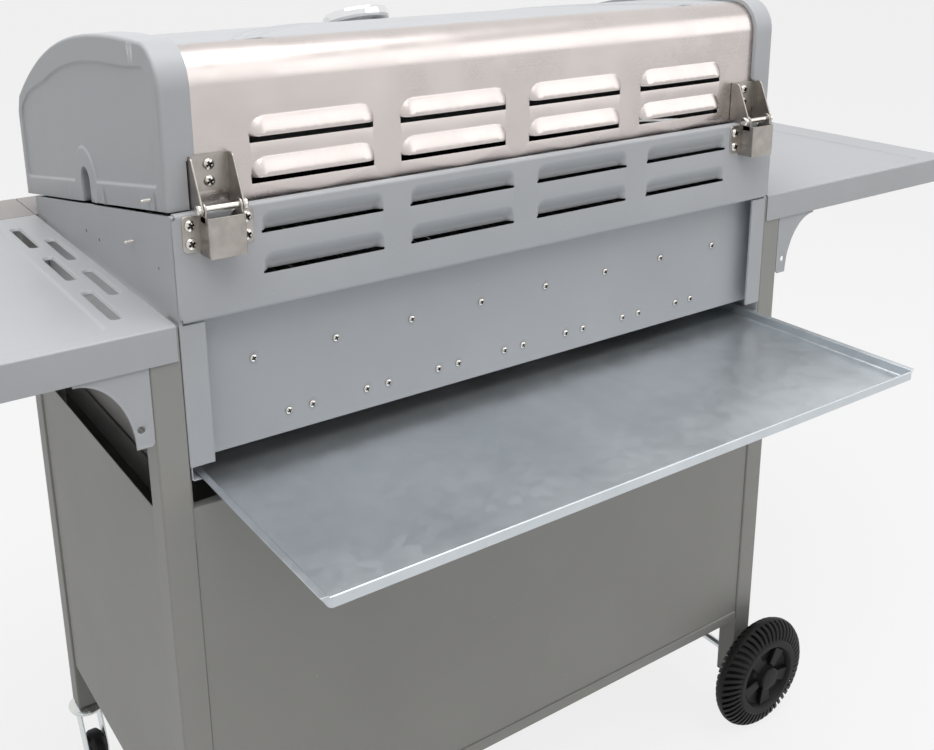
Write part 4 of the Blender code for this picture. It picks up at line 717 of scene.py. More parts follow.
def pan_screw(radius, height):
    """A pan-head screw with a cross recess, its seat at the origin, facing +Y."""
    head = soft_profile(
        [(0, height), (radius * 0.55, height * 0.97), (radius * 0.93, height * 0.55), (radius, 0)], radius * 0.2
    )
    head += [(radius, -height * 0.2), (0, -height * 0.2)]
    made = turned("screw", "Z", (0, 0), head[::-1], "screw_steel", 24)
    arm, width, deep = radius * 0.6, radius * 0.2, height * 0.12
    for angle in (0, 90):
        tool = block("cross", (-arm, arm), (-width, width), (deep, height * 2), "screw_steel")
        boolean(made, spun(tool, angle + 25, "Z"))
    # Faces inside the cross recess are marked deep, so that the screw's finish paints them near black as painted shade
    marks = made.data.attributes.new("deep", "FLOAT", "FACE")
    for mark, face in zip(marks.data, made.data.polygons):
        level, steep = face.center.z, face.normal.z < 0.5
        mark.value = float(face.center.xy.length < arm and level > 0 and (steep or level < deep + 1e-5))
    made.data.transform(Vector((0, 0, 1)).rotation_difference(Vector((0, 1, 0))).to_matrix().to_4x4())
    return settle(made, 30, False)


def screw_tip(name, side, y, z):
    """The threaded tip of a screw that comes through an end wall."""
    profile = [(0, 0.4195)]
    for k in range(9):
        profile += [(0.00145, 0.4198 + k * 0.0009), (0.00178, 0.4202 + k * 0.0009)]
    profile += [(0.0012, 0.4284), (0.0005, 0.4293), (0, 0.4294)]
    return turned(name, "X", (y, z), [(r, side * x) for r, x in profile], "screw_steel", 14)


# Firebox and lid


def seam(depth):
    """The Z of the line between firebox and lid at a depth."""
    return up(0.1075 - 0.083 * depth / 0.5)


def lid_path(offset=0.0):
    """The lid's outline from the rear over the top to the front, as (Y, Z) pairs."""
    points = [(0.015, 0), (0.015, 0.06), (0.015, 0.12), (0.015, 0.18)]
    points += arc((0.051, 0.224), 0.036, 180, 90, 10)
    start, pull = Vector((0.051, 0.26)), Vector((0.251, 0.26))
    lead, nose = Vector((0.382, 0.238)), Vector((0.522, 0.15))
    for i in range(1, 41):
        t = i / 40
        s = 1 - t
        points.append(tuple(start * s**3 + pull * 3 * s * s * t + lead * 3 * s * t * t + nose * t**3))
    points += [tuple(p) for p in rounded([points[-1], (LID_FRONT, 0.13), (LID_FRONT, 0.1)], 0.02)[1:]]
    points += [(LID_FRONT, 0.05), (LID_FRONT, 0)]
    if offset:
        points = band(points, offset)[len(points):][::-1]
    return [(back(d), up(r)) for d, r in points]


def louvre_shape(centre, low, size, radius):
    """A louvre's D outline, from its lower left end anticlockwise, without its open lower edge."""
    left, right, top = centre - size[0] / 2, centre + size[0] / 2, low + size[1]
    shape = [(right, low)] + arc((right - radius, top - radius), radius, 0, 90, 7)
    shape += arc((left + radius, top - radius), radius, 90, 180, 7) + [(left, low)]
    return shape


def louvres(rises, size, radius, slot, reach, ramp, soft, round_off=1.25):
    """The holes, extra points and press height for rows of louvres on an upright sheet."""
    holes, points, shapes = [], [], []
    lip_rings = (-0.0012, 0, 0.0007, 0.0018, 0.0035, 0.0055, 0.008, 0.0108, 0.0138)
    for low in rises:
        for i in range(4):
            centre = (i - 1.5) * LOUVRE_PITCH
            left, right, lip = centre - size[0] / 2, centre + size[0] / 2, low + slot
            shape = louvre_shape(centre, lip, (size[0], size[1] - slot), radius)
            hole = [(right - size[0] * (0.5 - 0.5 * math.cos(math.pi * k / 46)), lip) for k in range(47)]
            hole += [(left, low + 0.001), (left + 0.001, low), (right - 0.001, low), (right, low + 0.001)]
            holes.append(hole)
            for ring in lip_rings:
                loop = [p for p in offset_loop(shape, ring)[1:-1] if p[1] > lip + 0.0003]
                loop = [(right - ring, lip)] + loop + [(left + ring, lip)]
                for a, b in zip(loop, loop[1:]):
                    a, b = Vector(a), Vector(b)
                    count = max(1, round((b - a).length / 0.0035))
                    along = [a.lerp(b, k / count) for k in range(count + 1)]
                    points += [tuple(p) for p in along if p.y > lip + 0.0003]
            wide = [(x * 2, y) for x, y in shape]
            shapes.append((left, right, lip, low + size[1], shape, wide))

    def press(u, v):
        for left, right, lip, top, shape, wide in shapes:
            if left < u < right and lip - 1e-6 <= v < top and inside((u, v + 1e-5), shape):
                share = min(1.0, gap_to((u * 2, v), wide, False) / ramp)
                return reach * (eased(share) * soft + (1 - (1 - share) ** round_off) * (1 - soft))
        return 0.0

    return holes, points, press


class FireboxSizes(bpy.types.PropertyGroup):
    """Sizes of the firebox's pressed panels."""

    bend: FloatProperty(name="Bend radius", description="Radius of the panels' folds", default=0.0028, unit="LENGTH")
    slot: FloatProperty(name="Slot height", description="Height of a louvre's opening", default=0.0027, unit="LENGTH")
    reach: FloatProperty(name="Louvre reach", description="How far a louvre stands out", default=0.0068, unit="LENGTH")
    screws: IntProperty(name="Upper screws", description="Screws in the recessed panel's upper row", default=8, min=2)


def louvre_panel(sizes):
    """The painted panel with its two rows of louvres."""
    rounds = [(0.0195, 0), (0, 0), (0, 0.1073), (0.0095, 0.1073), (0.0095, 0.1)]
    path = rounded([(back(d), up(r)) for d, r in rounds], sizes.bend, 6)
    at, lengths = follow(path)
    level = lengths[7] - (path[7][1] - up(0))
    rises = [level + 0.0345, level + 0.0765]
    holes, points, press = louvres(rises, (0.14, 0.022), 0.0105, sizes.slot, sizes.reach, 0.0155, 0.8)

    end = lengths[-1]
    flat = (level + 0.003, level + 0.1045)
    outline = [(-0.4155, 0), (0.4155, 0), (0.4155, flat[0]), (0.4199, flat[0] + 0.002)]
    outline += [(0.4199, flat[1] - 0.002), (0.4155, flat[1]), (0.4155, end)]
    outline += [(-x, v) for x, v in outline[::-1]]
    lines = fold_lines(lengths[1:-1], -0.4155, 0.4155)
    panel = pressed_sheet("louvre_panel", outline, over(at), "light_paint", press, holes, points, lines=lines)
    hand_over(panel, "frame", "light_paint", "rear_louvre_panel")


class GRILL_OT_louvre_panel(bpy.types.Operator):
    """Builds the painted panel with its two rows of louvres"""

    bl_idname = "grill.louvre_panel"
    bl_label = "Louvre panel"

    def execute(self, context):
        louvre_panel(context.scene.grill_firebox)
        return {"FINISHED"}


def lower_panel(sizes):
    """The recessed panel with its rows of screws."""
    low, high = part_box("rear_lower_panel")
    face = back(0.02)
    seats = []
    for i in range(sizes.screws):
        seats.append(((i - (sizes.screws - 1) / 2) * 0.0964, up(-0.061)))
    for i in range(7):
        seats += [((i - 3) * 0.0956 + way * 0.014, up(-0.13)) for way in (-1, 1)]

    def press(u, v):
        near = min(math.hypot(u - x, v - z) for x, z in seats)
        return -0.0006 * (1 - eased((near - 0.0045) / 0.004))

    def place(u, v, h):
        return Vector((u, face + h, v))

    points = []
    for seat in seats:
        for radius in (0.0045, 0.006, 0.0072, 0.0088):
            points += arc(seat, radius, 0, 350, 20)
    outline = [(low.x, low.z), (high.x, low.z), (high.x, high.z), (low.x, high.z)]
    panel = pressed_sheet("recessed_panel", outline, place, "light_paint", press, (), points)
    row = [x for x, z in seats if abs(z - up(-0.061)) < 1e-4]
    screw = pan_screw(0.0042, 0.0019)
    upper = copies("upper_screws", screw, len(row), (row[0], face, up(-0.061)), (row[1] - row[0], 0, 0), keep=True)
    heads = [upper]
    for way in (-1, 1):
        start = (-3 * 0.0956 + way * 0.014, face, up(-0.13))
        heads.append(copies("lower_screws", screw, 7, start, (0.0956, 0, 0), keep=True))
    drop(screw)
    hand_over(panel, "frame", "light_paint", "rear_lower_panel")
    hand_over(joined("panel_screws", heads), "frame", "bright_steel")


def end_frame(end, side):
    """One end wall of the firebox with its rear flange and the tray's rail."""
    near, far, foot = back(0.0015), back(0.5), up(-0.154)
    outline = [(far, foot), (near, foot), (near, seam(0.0015)), (far, seam(0.5))]
    wall = prism("wall", rounded(outline, 0.002, 3, True), "X", sorted((side * 0.416, side * WALL)), "light_paint")
    for depth, rise, radius in ((0.282, 0.028, 0.0026), (0.235, 0.028, 0.0026), (0.045, 0.045, 0.0016)):
        span = (side * 0.41, side * 0.43)
        boolean(wall, rod("bore", "X", (back(depth), up(rise)), span, radius, "light_paint", 14))
    wall = bevelled(wall, 0.0006)
    path = [(side * 0.4199, back(0.04)), (side * 0.4199, back(0.0016)), (side * 0.3936, back(0.0016))]
    if side < 0:
        path = path[::-1]
    flange = band(rounded(path, 0.0028, 6), 0.0026)
    trim = plate("trim", flange, "Z", (up(-0.1539), up(-0.003)), "light_paint", 0.0008, 2, 50)
    low, outer = up(-0.1683), WALL - 0.0023
    rail = [(side * outer, up(-0.15)), (side * outer, low), (side * (outer - 0.0115), low)]
    if side > 0:
        rail = rail[::-1]
    rail = band(rounded(rail, 0.0015, 3), -0.0012)
    rail = plate("rail", rail, "Y", (far, back(0.0018)), "light_paint", 0.0003)
    hand_over(joined("end_frame_" + end, [wall, trim, rail]), "frame", "light_paint", "firebox_end_" + end)
    hand_over(screw_tip("frame_tip_" + end, side, back(0.116), up(0.056)), "frame", "bright_steel")


class GRILL_OT_lower_panel(bpy.types.Operator):
    """Builds the recessed panel, its screws and the firebox's end frames"""

    bl_idname = "grill.lower_panel"
    bl_label = "Recessed panel and end frames"

    def execute(self, context):
        lower_panel(context.scene.grill_firebox)
        for end, side in (("caster", 1), ("wheel", -1)):
            end_frame(end, side)
        return {"FINISHED"}


class LidSizes(bpy.types.PropertyGroup):
    """Sizes of the lid."""

    proud: FloatProperty(
        name="Cap edge", description="How far the caps stand over the sheets", default=0.006, unit="LENGTH"
    )
    edge_round: FloatProperty(
        name="Cap edge radius", description="Radius of the caps' outer edge", default=0.0042, unit="LENGTH"
    )
    ripple: FloatProperty(
        name="Ripple height", description="Height of the pressed arcs on the top", default=0.0013, unit="LENGTH"
    )
    ticks: IntProperty(name="Dial ticks", description="Ticks round the thermometer's dial", default=31, min=7)


def rear_sheet():
    """The louvred sheet that bends over to the top."""
    whole = lid_path()
    base = seam(0.015) + 0.0032
    lap = back(0.0518)
    upright = [(y, z) for y, z in whole if y > lap]
    path = [(upright[0][0], base)] + [p for p in upright if p[1] > base + 0.001] + [(lap, up(0.26))]
    path += [(lap - 0.0004, up(0.26) - 0.0016), (lap - 0.0178, up(0.26) - 0.0018)]
    at, lengths = follow(path, -1)
    level = up(0) - base
    rises = [level + 0.123, level + 0.164]
    holes, points, press = louvres(rises, (0.14, 0.026), 0.0155, 0.007, 0.0068, 0.019, 0, 1.7)

    outline = [(-LID_HALF, 0), (LID_HALF, 0), (LID_HALF, lengths[-1]), (-LID_HALF, lengths[-1])]
    bends = [s for s, p in zip(lengths, path) if p[1] > up(0.185)]
    lines = fold_lines(bends[:-1], -LID_HALF, LID_HALF)
    sheet = pressed_sheet(
        "lid_rear_skin", outline, over(at), "lid_steel", press, holes, points, lines=lines, thickness=0.0013
    )
    hand_over(sheet, "lid", "stainless", "lid_rear_sheet")


def top_sheet(ripple):
    """The painted top and front with its pressed arcs."""
    path = [(back(0.0522), up(0.26))] + [p for p in lid_path() if p[0] < back(0.0535)]
    low = seam(LID_FRONT) + 0.0032
    path = [p for p in path if p[1] > low + 0.002] + [(path[-1][0], low)]
    at, lengths = follow(path, -1)
    radii = ((0.362, 0.12, 0.06), (0.350, 0.12, 0.06), (0.338, 0.16, 0.06))
    crown = {}

    def depth_of(v):
        key = round(v, 5)
        if key not in crown:
            crown[key] = REAR - at(v)[0]
        return crown[key]

    def press(u, v):
        depth = depth_of(v)
        if depth > 0.33:
            return 0.0
        reach = math.hypot(u, depth + 0.111)
        height = 0.0
        for radius, fade, width in radii:
            away = abs(reach - radius) / 0.0032
            if away < 1:
                height += (0.5 + 0.5 * math.cos(math.pi * away)) * eased((abs(u) - fade) / width)
        return height * ripple

    points = []
    spans = list(zip(lengths, path))
    for radius, _, _ in radii:
        for shift in (-0.0045, -0.0032, -0.0021, -0.001, 0, 0.001, 0.0021, 0.0032, 0.0045):
            for k in range(110):
                turn = math.radians(20 + 60 * k / 109)
                u, depth = (radius + shift) * math.cos(turn), (radius + shift) * math.sin(turn) - 0.111
                if not 0.053 < depth < 0.33 or abs(u) > 0.413:
                    continue
                for (s1, p1), (s2, p2) in zip(spans, spans[1:]):
                    if p2[0] <= back(depth) <= p1[0] and p1[0] > p2[0]:
                        v = s1 + (s2 - s1) * (p1[0] - back(depth)) / (p1[0] - p2[0])
                        points += [(u, v), (-u, v)]
                        break

    end = lengths[-1]
    outline = [(-LID_HALF, 0), (LID_HALF, 0), (LID_HALF, end), (-LID_HALF, end)]
    lines = fold_lines(lengths[1:-1], -LID_HALF, LID_HALF, 0.003)
    top = pressed_sheet(
        "lid_top_skin", outline, over(at), "light_paint", press, (), points, lines=lines, thickness=0.0013
    )
    hand_over(top, "lid", "light_paint", "lid_shell")


class GRILL_OT_lid_sheets(bpy.types.Operator):
    """Builds the lid's bare rear sheet and its painted top and front"""

    bl_idname = "grill.lid_sheets"
    bl_label = "Lid sheets"

    def execute(self, context):
        sizes = context.scene.grill_lid
        rear_sheet()
        top_sheet(sizes.ripple)
        return {"FINISHED"}


def lid_cap(end, side, proud, edge):
    """One cap: a sunken plate, a rounded edge and a rim over the sheets."""
    full = lid_path(proud - edge)
    rear_z, front_z = seam(0.009) + 0.0032, seam(0.54) + 0.0032
    full = [p for p in full if p[1] > (rear_z if p[0] > 0.15 else front_z) + 0.002]
    full = [(full[0][0], rear_z)] + full + [(full[-1][0], front_z)]
    slope = (rear_z - front_z) / (full[0][0] - full[-1][0])

    def base(y):
        return rear_z + slope * (y - full[0][0])

    middle, half, top = back(0.265), 0.017, seam(0.265) + 0.044
    notch = [(middle + half, base(middle + half))] + arc((middle, top - half), half, 0, 180, 14)
    notch += [(middle - half, base(middle - half))]
    # The outline runs from the rear's foot over the top to the front's foot, and back by the notch
    outline = notch[::-1] + full

    def foot(y):
        return Vector((y, base(y) + 0.022))

    at, lengths = follow(full)
    arch = []
    for k in range(121):
        length = lengths[-1] * k / 120
        depth = REAR - at(length).x
        inset = 0.0235 - 0.008 * (1 - eased(depth / 0.12)) - 0.012 * eased((depth - 0.4) / 0.1)
        here = at(length, inset)
        if here.y > foot(here.x).y + 0.014:
            arch.append(here)
    loop = rounded([foot(arch[0].x - 0.016), foot(arch[0].x), arch[0]], 0.014, 5) + arch[1:-1]
    loop += rounded([arch[-1], foot(arch[-1].x), foot(arch[-1].x + 0.016)], 0.014, 5)
    loop += [foot(middle - 0.05), foot(middle - 0.041)] + arc((middle, top - half), half + 0.02, 168, 12, 18)
    loop = [tuple(p) for p in loop + [foot(middle + 0.041), foot(middle + 0.05)]]

    def press(y, z):
        if not inside((y, z), loop):
            return 0.0
        fade = 1 - 0.5 * (1 - eased((REAR - y - 0.02) / 0.09)) * eased((z - up(0.15)) / 0.05)
        return -0.0021 * eased(gap_to((y, z), loop) / 0.0034) * fade

    points = rings_of(loop, (-0.0012, 0, 0.0008, 0.0016, 0.0024, 0.0034, 0.005), 0.004)
    points = [p for p in points if inside(p, outline) and gap_to(p, outline) > 0.0012]

    def place(u, v, h):
        return Vector((side * (WALL + h), u, v))

    def at_notch(u, v):
        return abs(u - middle) < half + 1e-5 and v < top + 1e-5

    def bare(u, v):
        return v < base(u) + 0.0005

    def limit(u, v):
        if at_notch(u, v):
            return 0.016
        return 0.0228 if u > back(0.02) and v < up(0.16) else 0.032

    def reach(u, v):
        return 0.36 if at_notch(u, v) else 1.0

    skirt = quarter(edge, 0.012, 6) + [(edge, 0.02), (edge, 0.0312), (edge - 0.0003, 0.0317)]
    skirt += [(edge - 0.001, 0.032), (edge - proud + 0.0004, 0.032)]
    ends = {"bare": bare, "limit": limit, "reach": reach}
    ends |= {"skirt": skirt, "thickness": 0.0016, "spacing": 0.006}
    cap = pressed_sheet("cap_" + end, outline, place, "light_paint", press, (), points, **ends)
    hand_over(cap, "lid", "light_paint", "lid_cap_" + end)
    hand_over(screw_tip("cap_tip_" + end, side, back(0.0525), base(back(0.0525)) + 0.0105), "lid", "bright_steel")


class GRILL_OT_lid_caps(bpy.types.Operator):
    """Builds the two end caps of the lid"""

    bl_idname = "grill.lid_caps"
    bl_label = "Lid end caps"

    def execute(self, context):
        sizes = context.scene.grill_lid
        for end, side in ENDS:
            lid_cap(end, side, sizes.proud, sizes.edge_round)
        return {"FINISHED"}


def hinge_box(end, x):
    """The bent box on the firebox with its flanges, ears and four screws."""
    face, half = back(0) + 0.0004, 0.0194
    path = [(x + half, face), (x + half, face + 0.0255), (x - half, face + 0.0255), (x - half, face)]
    sheet = band(rounded(path, 0.003, 5), 0.002)
    ears = [plate("box", sheet, "Z", (up(0.0667), up(0.1065)), "hinge_steel", 0.0009, 3, 35)]
    for way in (-1, 1):
        flange = slot_loop((x + way * (half + 0.0057), up(0.0878)), (0.0232, 0.0367), 0.0055, 5)
        ears.append(plate("flange", flange, "Y", (face, face + 0.002), "hinge_steel", 0.0006, 2))
    for way in (-1, 1):
        y, foot = LID_PIN[0], up(0.1)
        outline = [(y - 0.0064, foot)] + arc(LID_PIN, 0.0064, 180, 0, 14) + [(y + 0.0064, foot)]
        span = sorted((x + way * (half - 0.0025), x + way * half))
        ears.append(plate("ear", outline, "X", span, "hinge_steel", 0.0006, 2))
    hand_over(joined("hinge_box_" + end, ears), "frame", "stainless", "hinge_base_" + end)
    seat = face + 0.002
    screw = pan_screw(0.006, 0.0034)
    rows = []
    for way in (-1, 1):
        start = (x + way * (half + 0.0093), seat, up(0.0788))
        rows.append(copies("row", screw, 2, start, (0, 0, 0.018), keep=True))
    drop(screw)
    hand_over(joined("hinge_screws_" + end, rows), "frame", "bright_steel")


def lid_bracket(end, x):
    """The channel on the lid with its cheeks, and the rod through the hinge box."""
    lid_face = back(0.015) + 0.0004
    inner, outer = 0.02, 0.022
    high = up(0.16)
    side = outer - 0.0003
    path = [(x - side, lid_face + 0.011), (x - side, lid_face), (x + side, lid_face), (x + side, lid_face + 0.011)]
    plan = band(rounded(path, 0.0026, 5), 0.002)
    parts = [plate("channel", plan, "Z", (up(0.124), high), "hinge_steel", 0.0006, 2, 35)]
    cheek = [(lid_face, high), (lid_face, up(0.1097)), (LID_PIN[0] - 0.0065, up(0.1087))]
    cheek += arc(LID_PIN, 0.0063, 225, 360, 10)
    cheek += rounded([cheek[-1], (lid_face + 0.0128, high), (lid_face, high)], 0.0055, 6)[1:-1]
    for way in (-1, 1):
        span = sorted((x + way * inner, x + way * outer))
        parts.append(plate("cheek", cheek, "X", span, "hinge_steel", 0.0006, 2))
    hand_over(joined("lid_channel_" + end, parts), "lid", "stainless", "lid_bracket_" + end)
    bright = []
    profile = [(0, -0.0259), (0.0042, -0.0259), (0.0055, -0.0245), (0.0055, -0.0221), (0.0034, -0.0221)]
    profile += [(r, -a) for r, a in profile[::-1]]
    bright.append(turned("rod", "X", LID_PIN, [(r, x + a) for r, a in profile], "screw_steel", 32))
    screw = pan_screw(0.0058, 0.0032)
    bright.append(copies("row", screw, 2, (x, lid_face + 0.002, up(0.1335)), (0, 0, 0.0165)))
    hand_over(joined("lid_channel_screws_" + end, bright), "lid", "bright_steel")


class GRILL_OT_hinges(bpy.types.Operator):
    """Builds the hinge boxes, the lid's brackets, their rods and screws"""

    bl_idname = "grill.hinges"
    bl_label = "Hinges"

    def execute(self, context):
        for end, side in ENDS:
            hinge_box(end, side * HINGE_PLACE)
            lid_bracket(end, side * HINGE_PLACE)
        return {"FINISHED"}


def lid_handle():
    """A bright bar with end caps, on two posts with round feet."""
    y, z = back(LID_FRONT + 0.052), up(0.078)
    shape = [(0, -0.2998), (0.0095, -0.2998), (0.0117, -0.297), (0.0119, -0.289), (0.0112, -0.2885)]
    shape = soft_profile(shape + [(0.0112, -0.287), (0.0118, -0.2865)], 0.001, 2)
    shape += [(r, -a) for r, a in shape[::-1]]
    parts = [turned("bar", "X", (y, z), shape, "chrome", 40)]
    for side in (-1, 1):
        x = side * 0.26
        face = back(LID_FRONT) - 0.0004
        post = [
            (0, y + 0.004), (0.0078, y + 0.004), (0.0078, face - 0.008), (0.0115, face - 0.0035), (0.0119, face),
            (0, face)
        ]
        parts.append(turned("post", "Y", (x, z), soft_profile(post, 0.0015), "chrome", 32))
    hand_over(joined("handle_bar", parts), "lid", "chrome", "lid_handle")


def thermometer(ticks):
    """A round dial in a chrome bezel, with ticks, plain numbers and a pointer."""
    path = lid_path()
    here = min(range(len(path)), key=lambda i: abs(path[i][0] - back(0.37)))
    along = Vector((0, path[here + 1][0] - path[here - 1][0], path[here + 1][1] - path[here - 1][1])).normalized()
    normal = Vector((0, along.z, -along.y))
    turn = Vector((0, 0, 1)).rotation_difference(normal).to_matrix().to_4x4()
    stand = Matrix.Translation((0, *path[here])) @ turn

    def fixed(made):
        made.data.transform(stand)
        return made

    case = [(0, -0.04), (0.0038, -0.04), (0.004, 0), (0.0295, 0.0006), (0.03, 0.0085), (0.0405, 0.01)]
    case += [(0.0448, 0.0115), (0.0459, 0.015), (0.0459, 0.022), (0.0448, 0.0254), (0.0425, 0.0262), (0.0405, 0.0255)]
    case += [(0.0402, 0.0205), (0, 0.0205)]
    case = fixed(turned("dial_case", "Z", (0, 0), soft_profile(case, 0.0012), "chrome", 64))
    hand_over(case, "lid", "bright_steel", "thermometer")
    face = fixed(rod("dial_face", "Z", (0, 0), (0.0212, 0.0206), 0.0401, "dial_white", 48))
    hand_over(face, "lid", "bright_steel")
    tick = block("tick", (0.0335, 0.038), (-0.00035, 0.00035), (0.0211, 0.02135), "dial_ink")
    step = math.radians(-270 / (ticks - 1))
    fine = copies("ticks", tick, ticks, turn=(0, 0, step))
    bold = block("tick", (0.0315, 0.038), (-0.0007, 0.0007), (0.0211, 0.0214), "dial_ink")
    bold = copies("ticks", bold, 7, turn=(0, 0, math.radians(-45)))
    marks = [spun(made, 225, "Z") for made in (fine, bold)]
    for i, number in enumerate(("0", "100", "200", "300", "400", "500", "600")):
        angle = math.radians(225 - 45 * i)
        curve = bpy.data.curves.new("number", "FONT")
        curve.body, curve.size, curve.extrude = number, 0.0062, 0.00012
        curve.align_x, curve.align_y = "CENTER", "CENTER"
        drawn = linked("number", curve)
        mesh = plain_mesh(drawn)
        drop(drawn)
        mesh.materials.clear()
        mesh.materials.append(MATERIALS["dial_ink"])
        mesh.transform(Matrix.Translation((0.0262 * math.cos(angle), 0.0262 * math.sin(angle), 0.0213)))
        marks.append(linked("number", mesh))
    hand_over(fixed(joined("dial_marks", marks)), "lid", "black_plastic")
    pointer = [(-0.008, -0.0009), (-0.008, 0.0009), (0.03, 0.0003), (0.03, -0.0003)]
    arm = plate("pointer", pointer, "Z", (0.0222, 0.0228), "dial_red", 0.0001, 1)
    spun(arm, 225, "Z")
    hub = soft_profile([(0, 0.0212), (0.003, 0.0212), (0.003, 0.0238), (0, 0.0242)], 0.0005, 2)
    hub = turned("hub", "Z", (0, 0), hub, "dial_red", 24)
    hand_over(fixed(joined("dial_pointer", [arm, hub])), "lid", "bright_steel")
    pane = [(0, 0.0256), (0.03, 0.0252), (0.0404, 0.0246), (0.0404, 0.0238), (0, 0.0246)]
    hand_over(fixed(turned("dial_pane", "Z", (0, 0), pane, "dial_glass", 48)), "lid", "bright_steel")


class GRILL_OT_lid_handle(bpy.types.Operator):
    """Builds the lid's bar handle and the thermometer"""

    bl_idname = "grill.lid_handle"
    bl_label = "Lid handle and thermometer"

    def execute(self, context):
        lid_handle()
        thermometer(context.scene.grill_lid.ticks)
        return {"FINISHED"}


# Shelves and cart


class CartSizes(bpy.types.PropertyGroup):
    """Sizes of the shelves and the cart."""

    sink: FloatProperty(
        name="Field depth", description="How deep the shelves' fields are pressed", default=0.0015, unit="LENGTH"
    )
    fold: FloatProperty(name="Fold radius", description="Radius of the sheets' folds", default=0.0022, unit="LENGTH")
    post_round: FloatProperty(
        name="Post corner", description="Radius of the posts' corners", default=0.003, unit="LENGTH"
    )


def quarter(radius, drop, steps=5):
    """Skirt rows that round an edge and then fall to a drop."""
    turns = [math.radians(90 * k / steps) for k in range(1, steps + 1)]
    return [(radius * math.sin(t), radius * (1 - math.cos(t))) for t in turns] + [(radius, drop)]


def side_shelf(end, side, sizes):
    """One shelf, worked out in lengths from the firebox and depths from the rear."""
    fold, length = sizes.fold, 0.4295
    plan = [(0, fold)] + arc((length - fold - 0.004, fold + 0.004), 0.004, 270, 360, 6)
    plan += arc((length - fold - 0.004, 0.5 - fold - 0.004), 0.004, 0, 90, 6) + [(0, 0.5 - fold)]
    field = [(0.055, 0.02), (length - 0.058, 0.02), (length - 0.058, 0.48), (0.055, 0.48)]
    soft = arc((0.073, 0.462), 0.018, 90, 180, 8) + arc((0.073, 0.038), 0.018, 180, 270, 8)
    loop = soft + field[1:3]
    slots = []
    for row, place_x in enumerate((0.039, 0.0162)):
        first = 0.102 + row * 0.0735
        slots += [slot_loop((place_x, first + i * 0.147), (0.0095, 0.098), 0.0047, 5) for i in range(3 - row)]
    hole = arc((0.36, 0.0186), 0.0022, 0, 345, 11)
    holes = [slot[::-1] for slot in slots] + [hole[::-1]]

    def press(u, v):
        height = 0.0
        if inside((u, v), loop):
            width = 0.0052 if u < 0.3 else 0.0018
            height -= sizes.sink * eased(gap_to((u, v), loop) / width)
        for slot in slots:
            height -= 0.003 * (1 - eased(gap_to((u, v), slot) / 0.0034)) ** 1.6
        return height

    points = rings_of(loop, (-0.002, 0, 0.0005, 0.001, 0.0018, 0.0029, 0.004, 0.0052, 0.008), 0.006)
    for slot in slots:
        points += rings_of(slot, (-0.0004, -0.0008, -0.0013, -0.0018, -0.0024, -0.0034), 0.004)

    def place(u, v, h):
        return Vector((side * (SHELF_START + u), back(v), up(h)))

    def bare(u, v):
        return u < 1e-6

    skirt = quarter(fold, 0.0368)
    shelf = pressed_sheet(
        "shelf_skin_" + end, plan, place, "light_paint", press, holes, points, skirt=skirt, bare=bare, spacing=0.01
    )
    hand_over(shelf, "frame", "light_paint", "shelf_" + end)


class GRILL_OT_shelves(bpy.types.Operator):
    """Builds the two side shelves with their sunken fields and slots"""

    bl_idname = "grill.shelves"
    bl_label = "Side shelves"

    def execute(self, context):
        for end, side in ENDS:
            side_shelf(end, side, context.scene.grill_cart)
        return {"FINISHED"}


def gusset(end, side):
    """A curved sheet bracket with a hole and a rolled outer edge."""
    start = 0.4526
    low, tip, top = up(-0.119), up(-0.04), up(-0.0015)
    outline = [(start, top), (start, low + 0.003), (start + 0.003, low)]
    steps = 20
    for i in range(steps + 1):
        turn = math.pi / 2 * (1 - i / steps)
        across = 0.0185 + (0.0725 - 0.0185) * (1 - math.sin(turn))
        outline.append((start + across, low + (tip - low) * math.cos(turn)))
    outline += [(start + 0.0725, top)]
    rim = outline[2:-1]
    hole = arc((start + 0.0125, low + 0.02), 0.004, 0, 345, 23)

    def press(u, v):
        near = gap_to((u, v), rim, False)
        return 0.0006 * (1 - eased(near / 0.003))

    def place(u, v, h):
        return Vector((side * u, back(0.0021) + h, v))

    points = rings_of(outline, (0.0008, 0.0016, 0.0024, 0.0034), 0.004)
    made = pressed_sheet(
        "bracket_" + end, outline, place, "light_paint", press, [hole[::-1]], points, thickness=0.0015, spacing=0.004
    )
    hand_over(made, "frame", "light_paint", "gusset_" + end)


def bent_board(name, xs, height):
    """A bent sheet: a top, a front and a return below."""
    front, top, foot = back(PANEL_FRONT), up(-0.0001), up(0.0001 - height)
    path = [(back(0.5003), top), (front, top), (front, foot), (back(0.587), foot)]
    return plate(name, band(rounded(path, 0.0032), 0.0015), "X", xs, "front_paint", 0.0003, 2, 50)


def control_panel():
    """The control panel with rings and heat marks round its knobs."""
    panel = bent_board("control_skin", (-0.4225, 0.4225), 0.13)
    hand_over(panel, "frame", "light_paint", "control_panel")
    face = back(PANEL_FRONT)
    ring = soft_profile([(0.0262, 0), (0.0262, -0.0011), (0.0305, -0.0008), (0.0308, 0)], 0.0004, 2)
    ring = turned("ring", "Y", (0, 0), ring, "chrome", 48)
    rings = copies("rings", ring, 4, (-0.2868, face, up(KNOB_RISE)), (KNOB_PITCH, 0, 0))
    hand_over(rings, "frame", "bright_steel")
    marks = []
    mark = block("mark", (-0.0006, 0.0006), (-0.0003, 0.0001), (0.0335, 0.0385), "mark_white")
    for x in KNOB_PLACES:
        row = copies("marks", mark, 7, turn=(0, math.radians(-25), 0), keep=True)
        marks.append(shifted(row, x, face, up(KNOB_RISE)))
    drop(mark)
    hand_over(joined("heat_marks", marks), "frame", "light_paint")


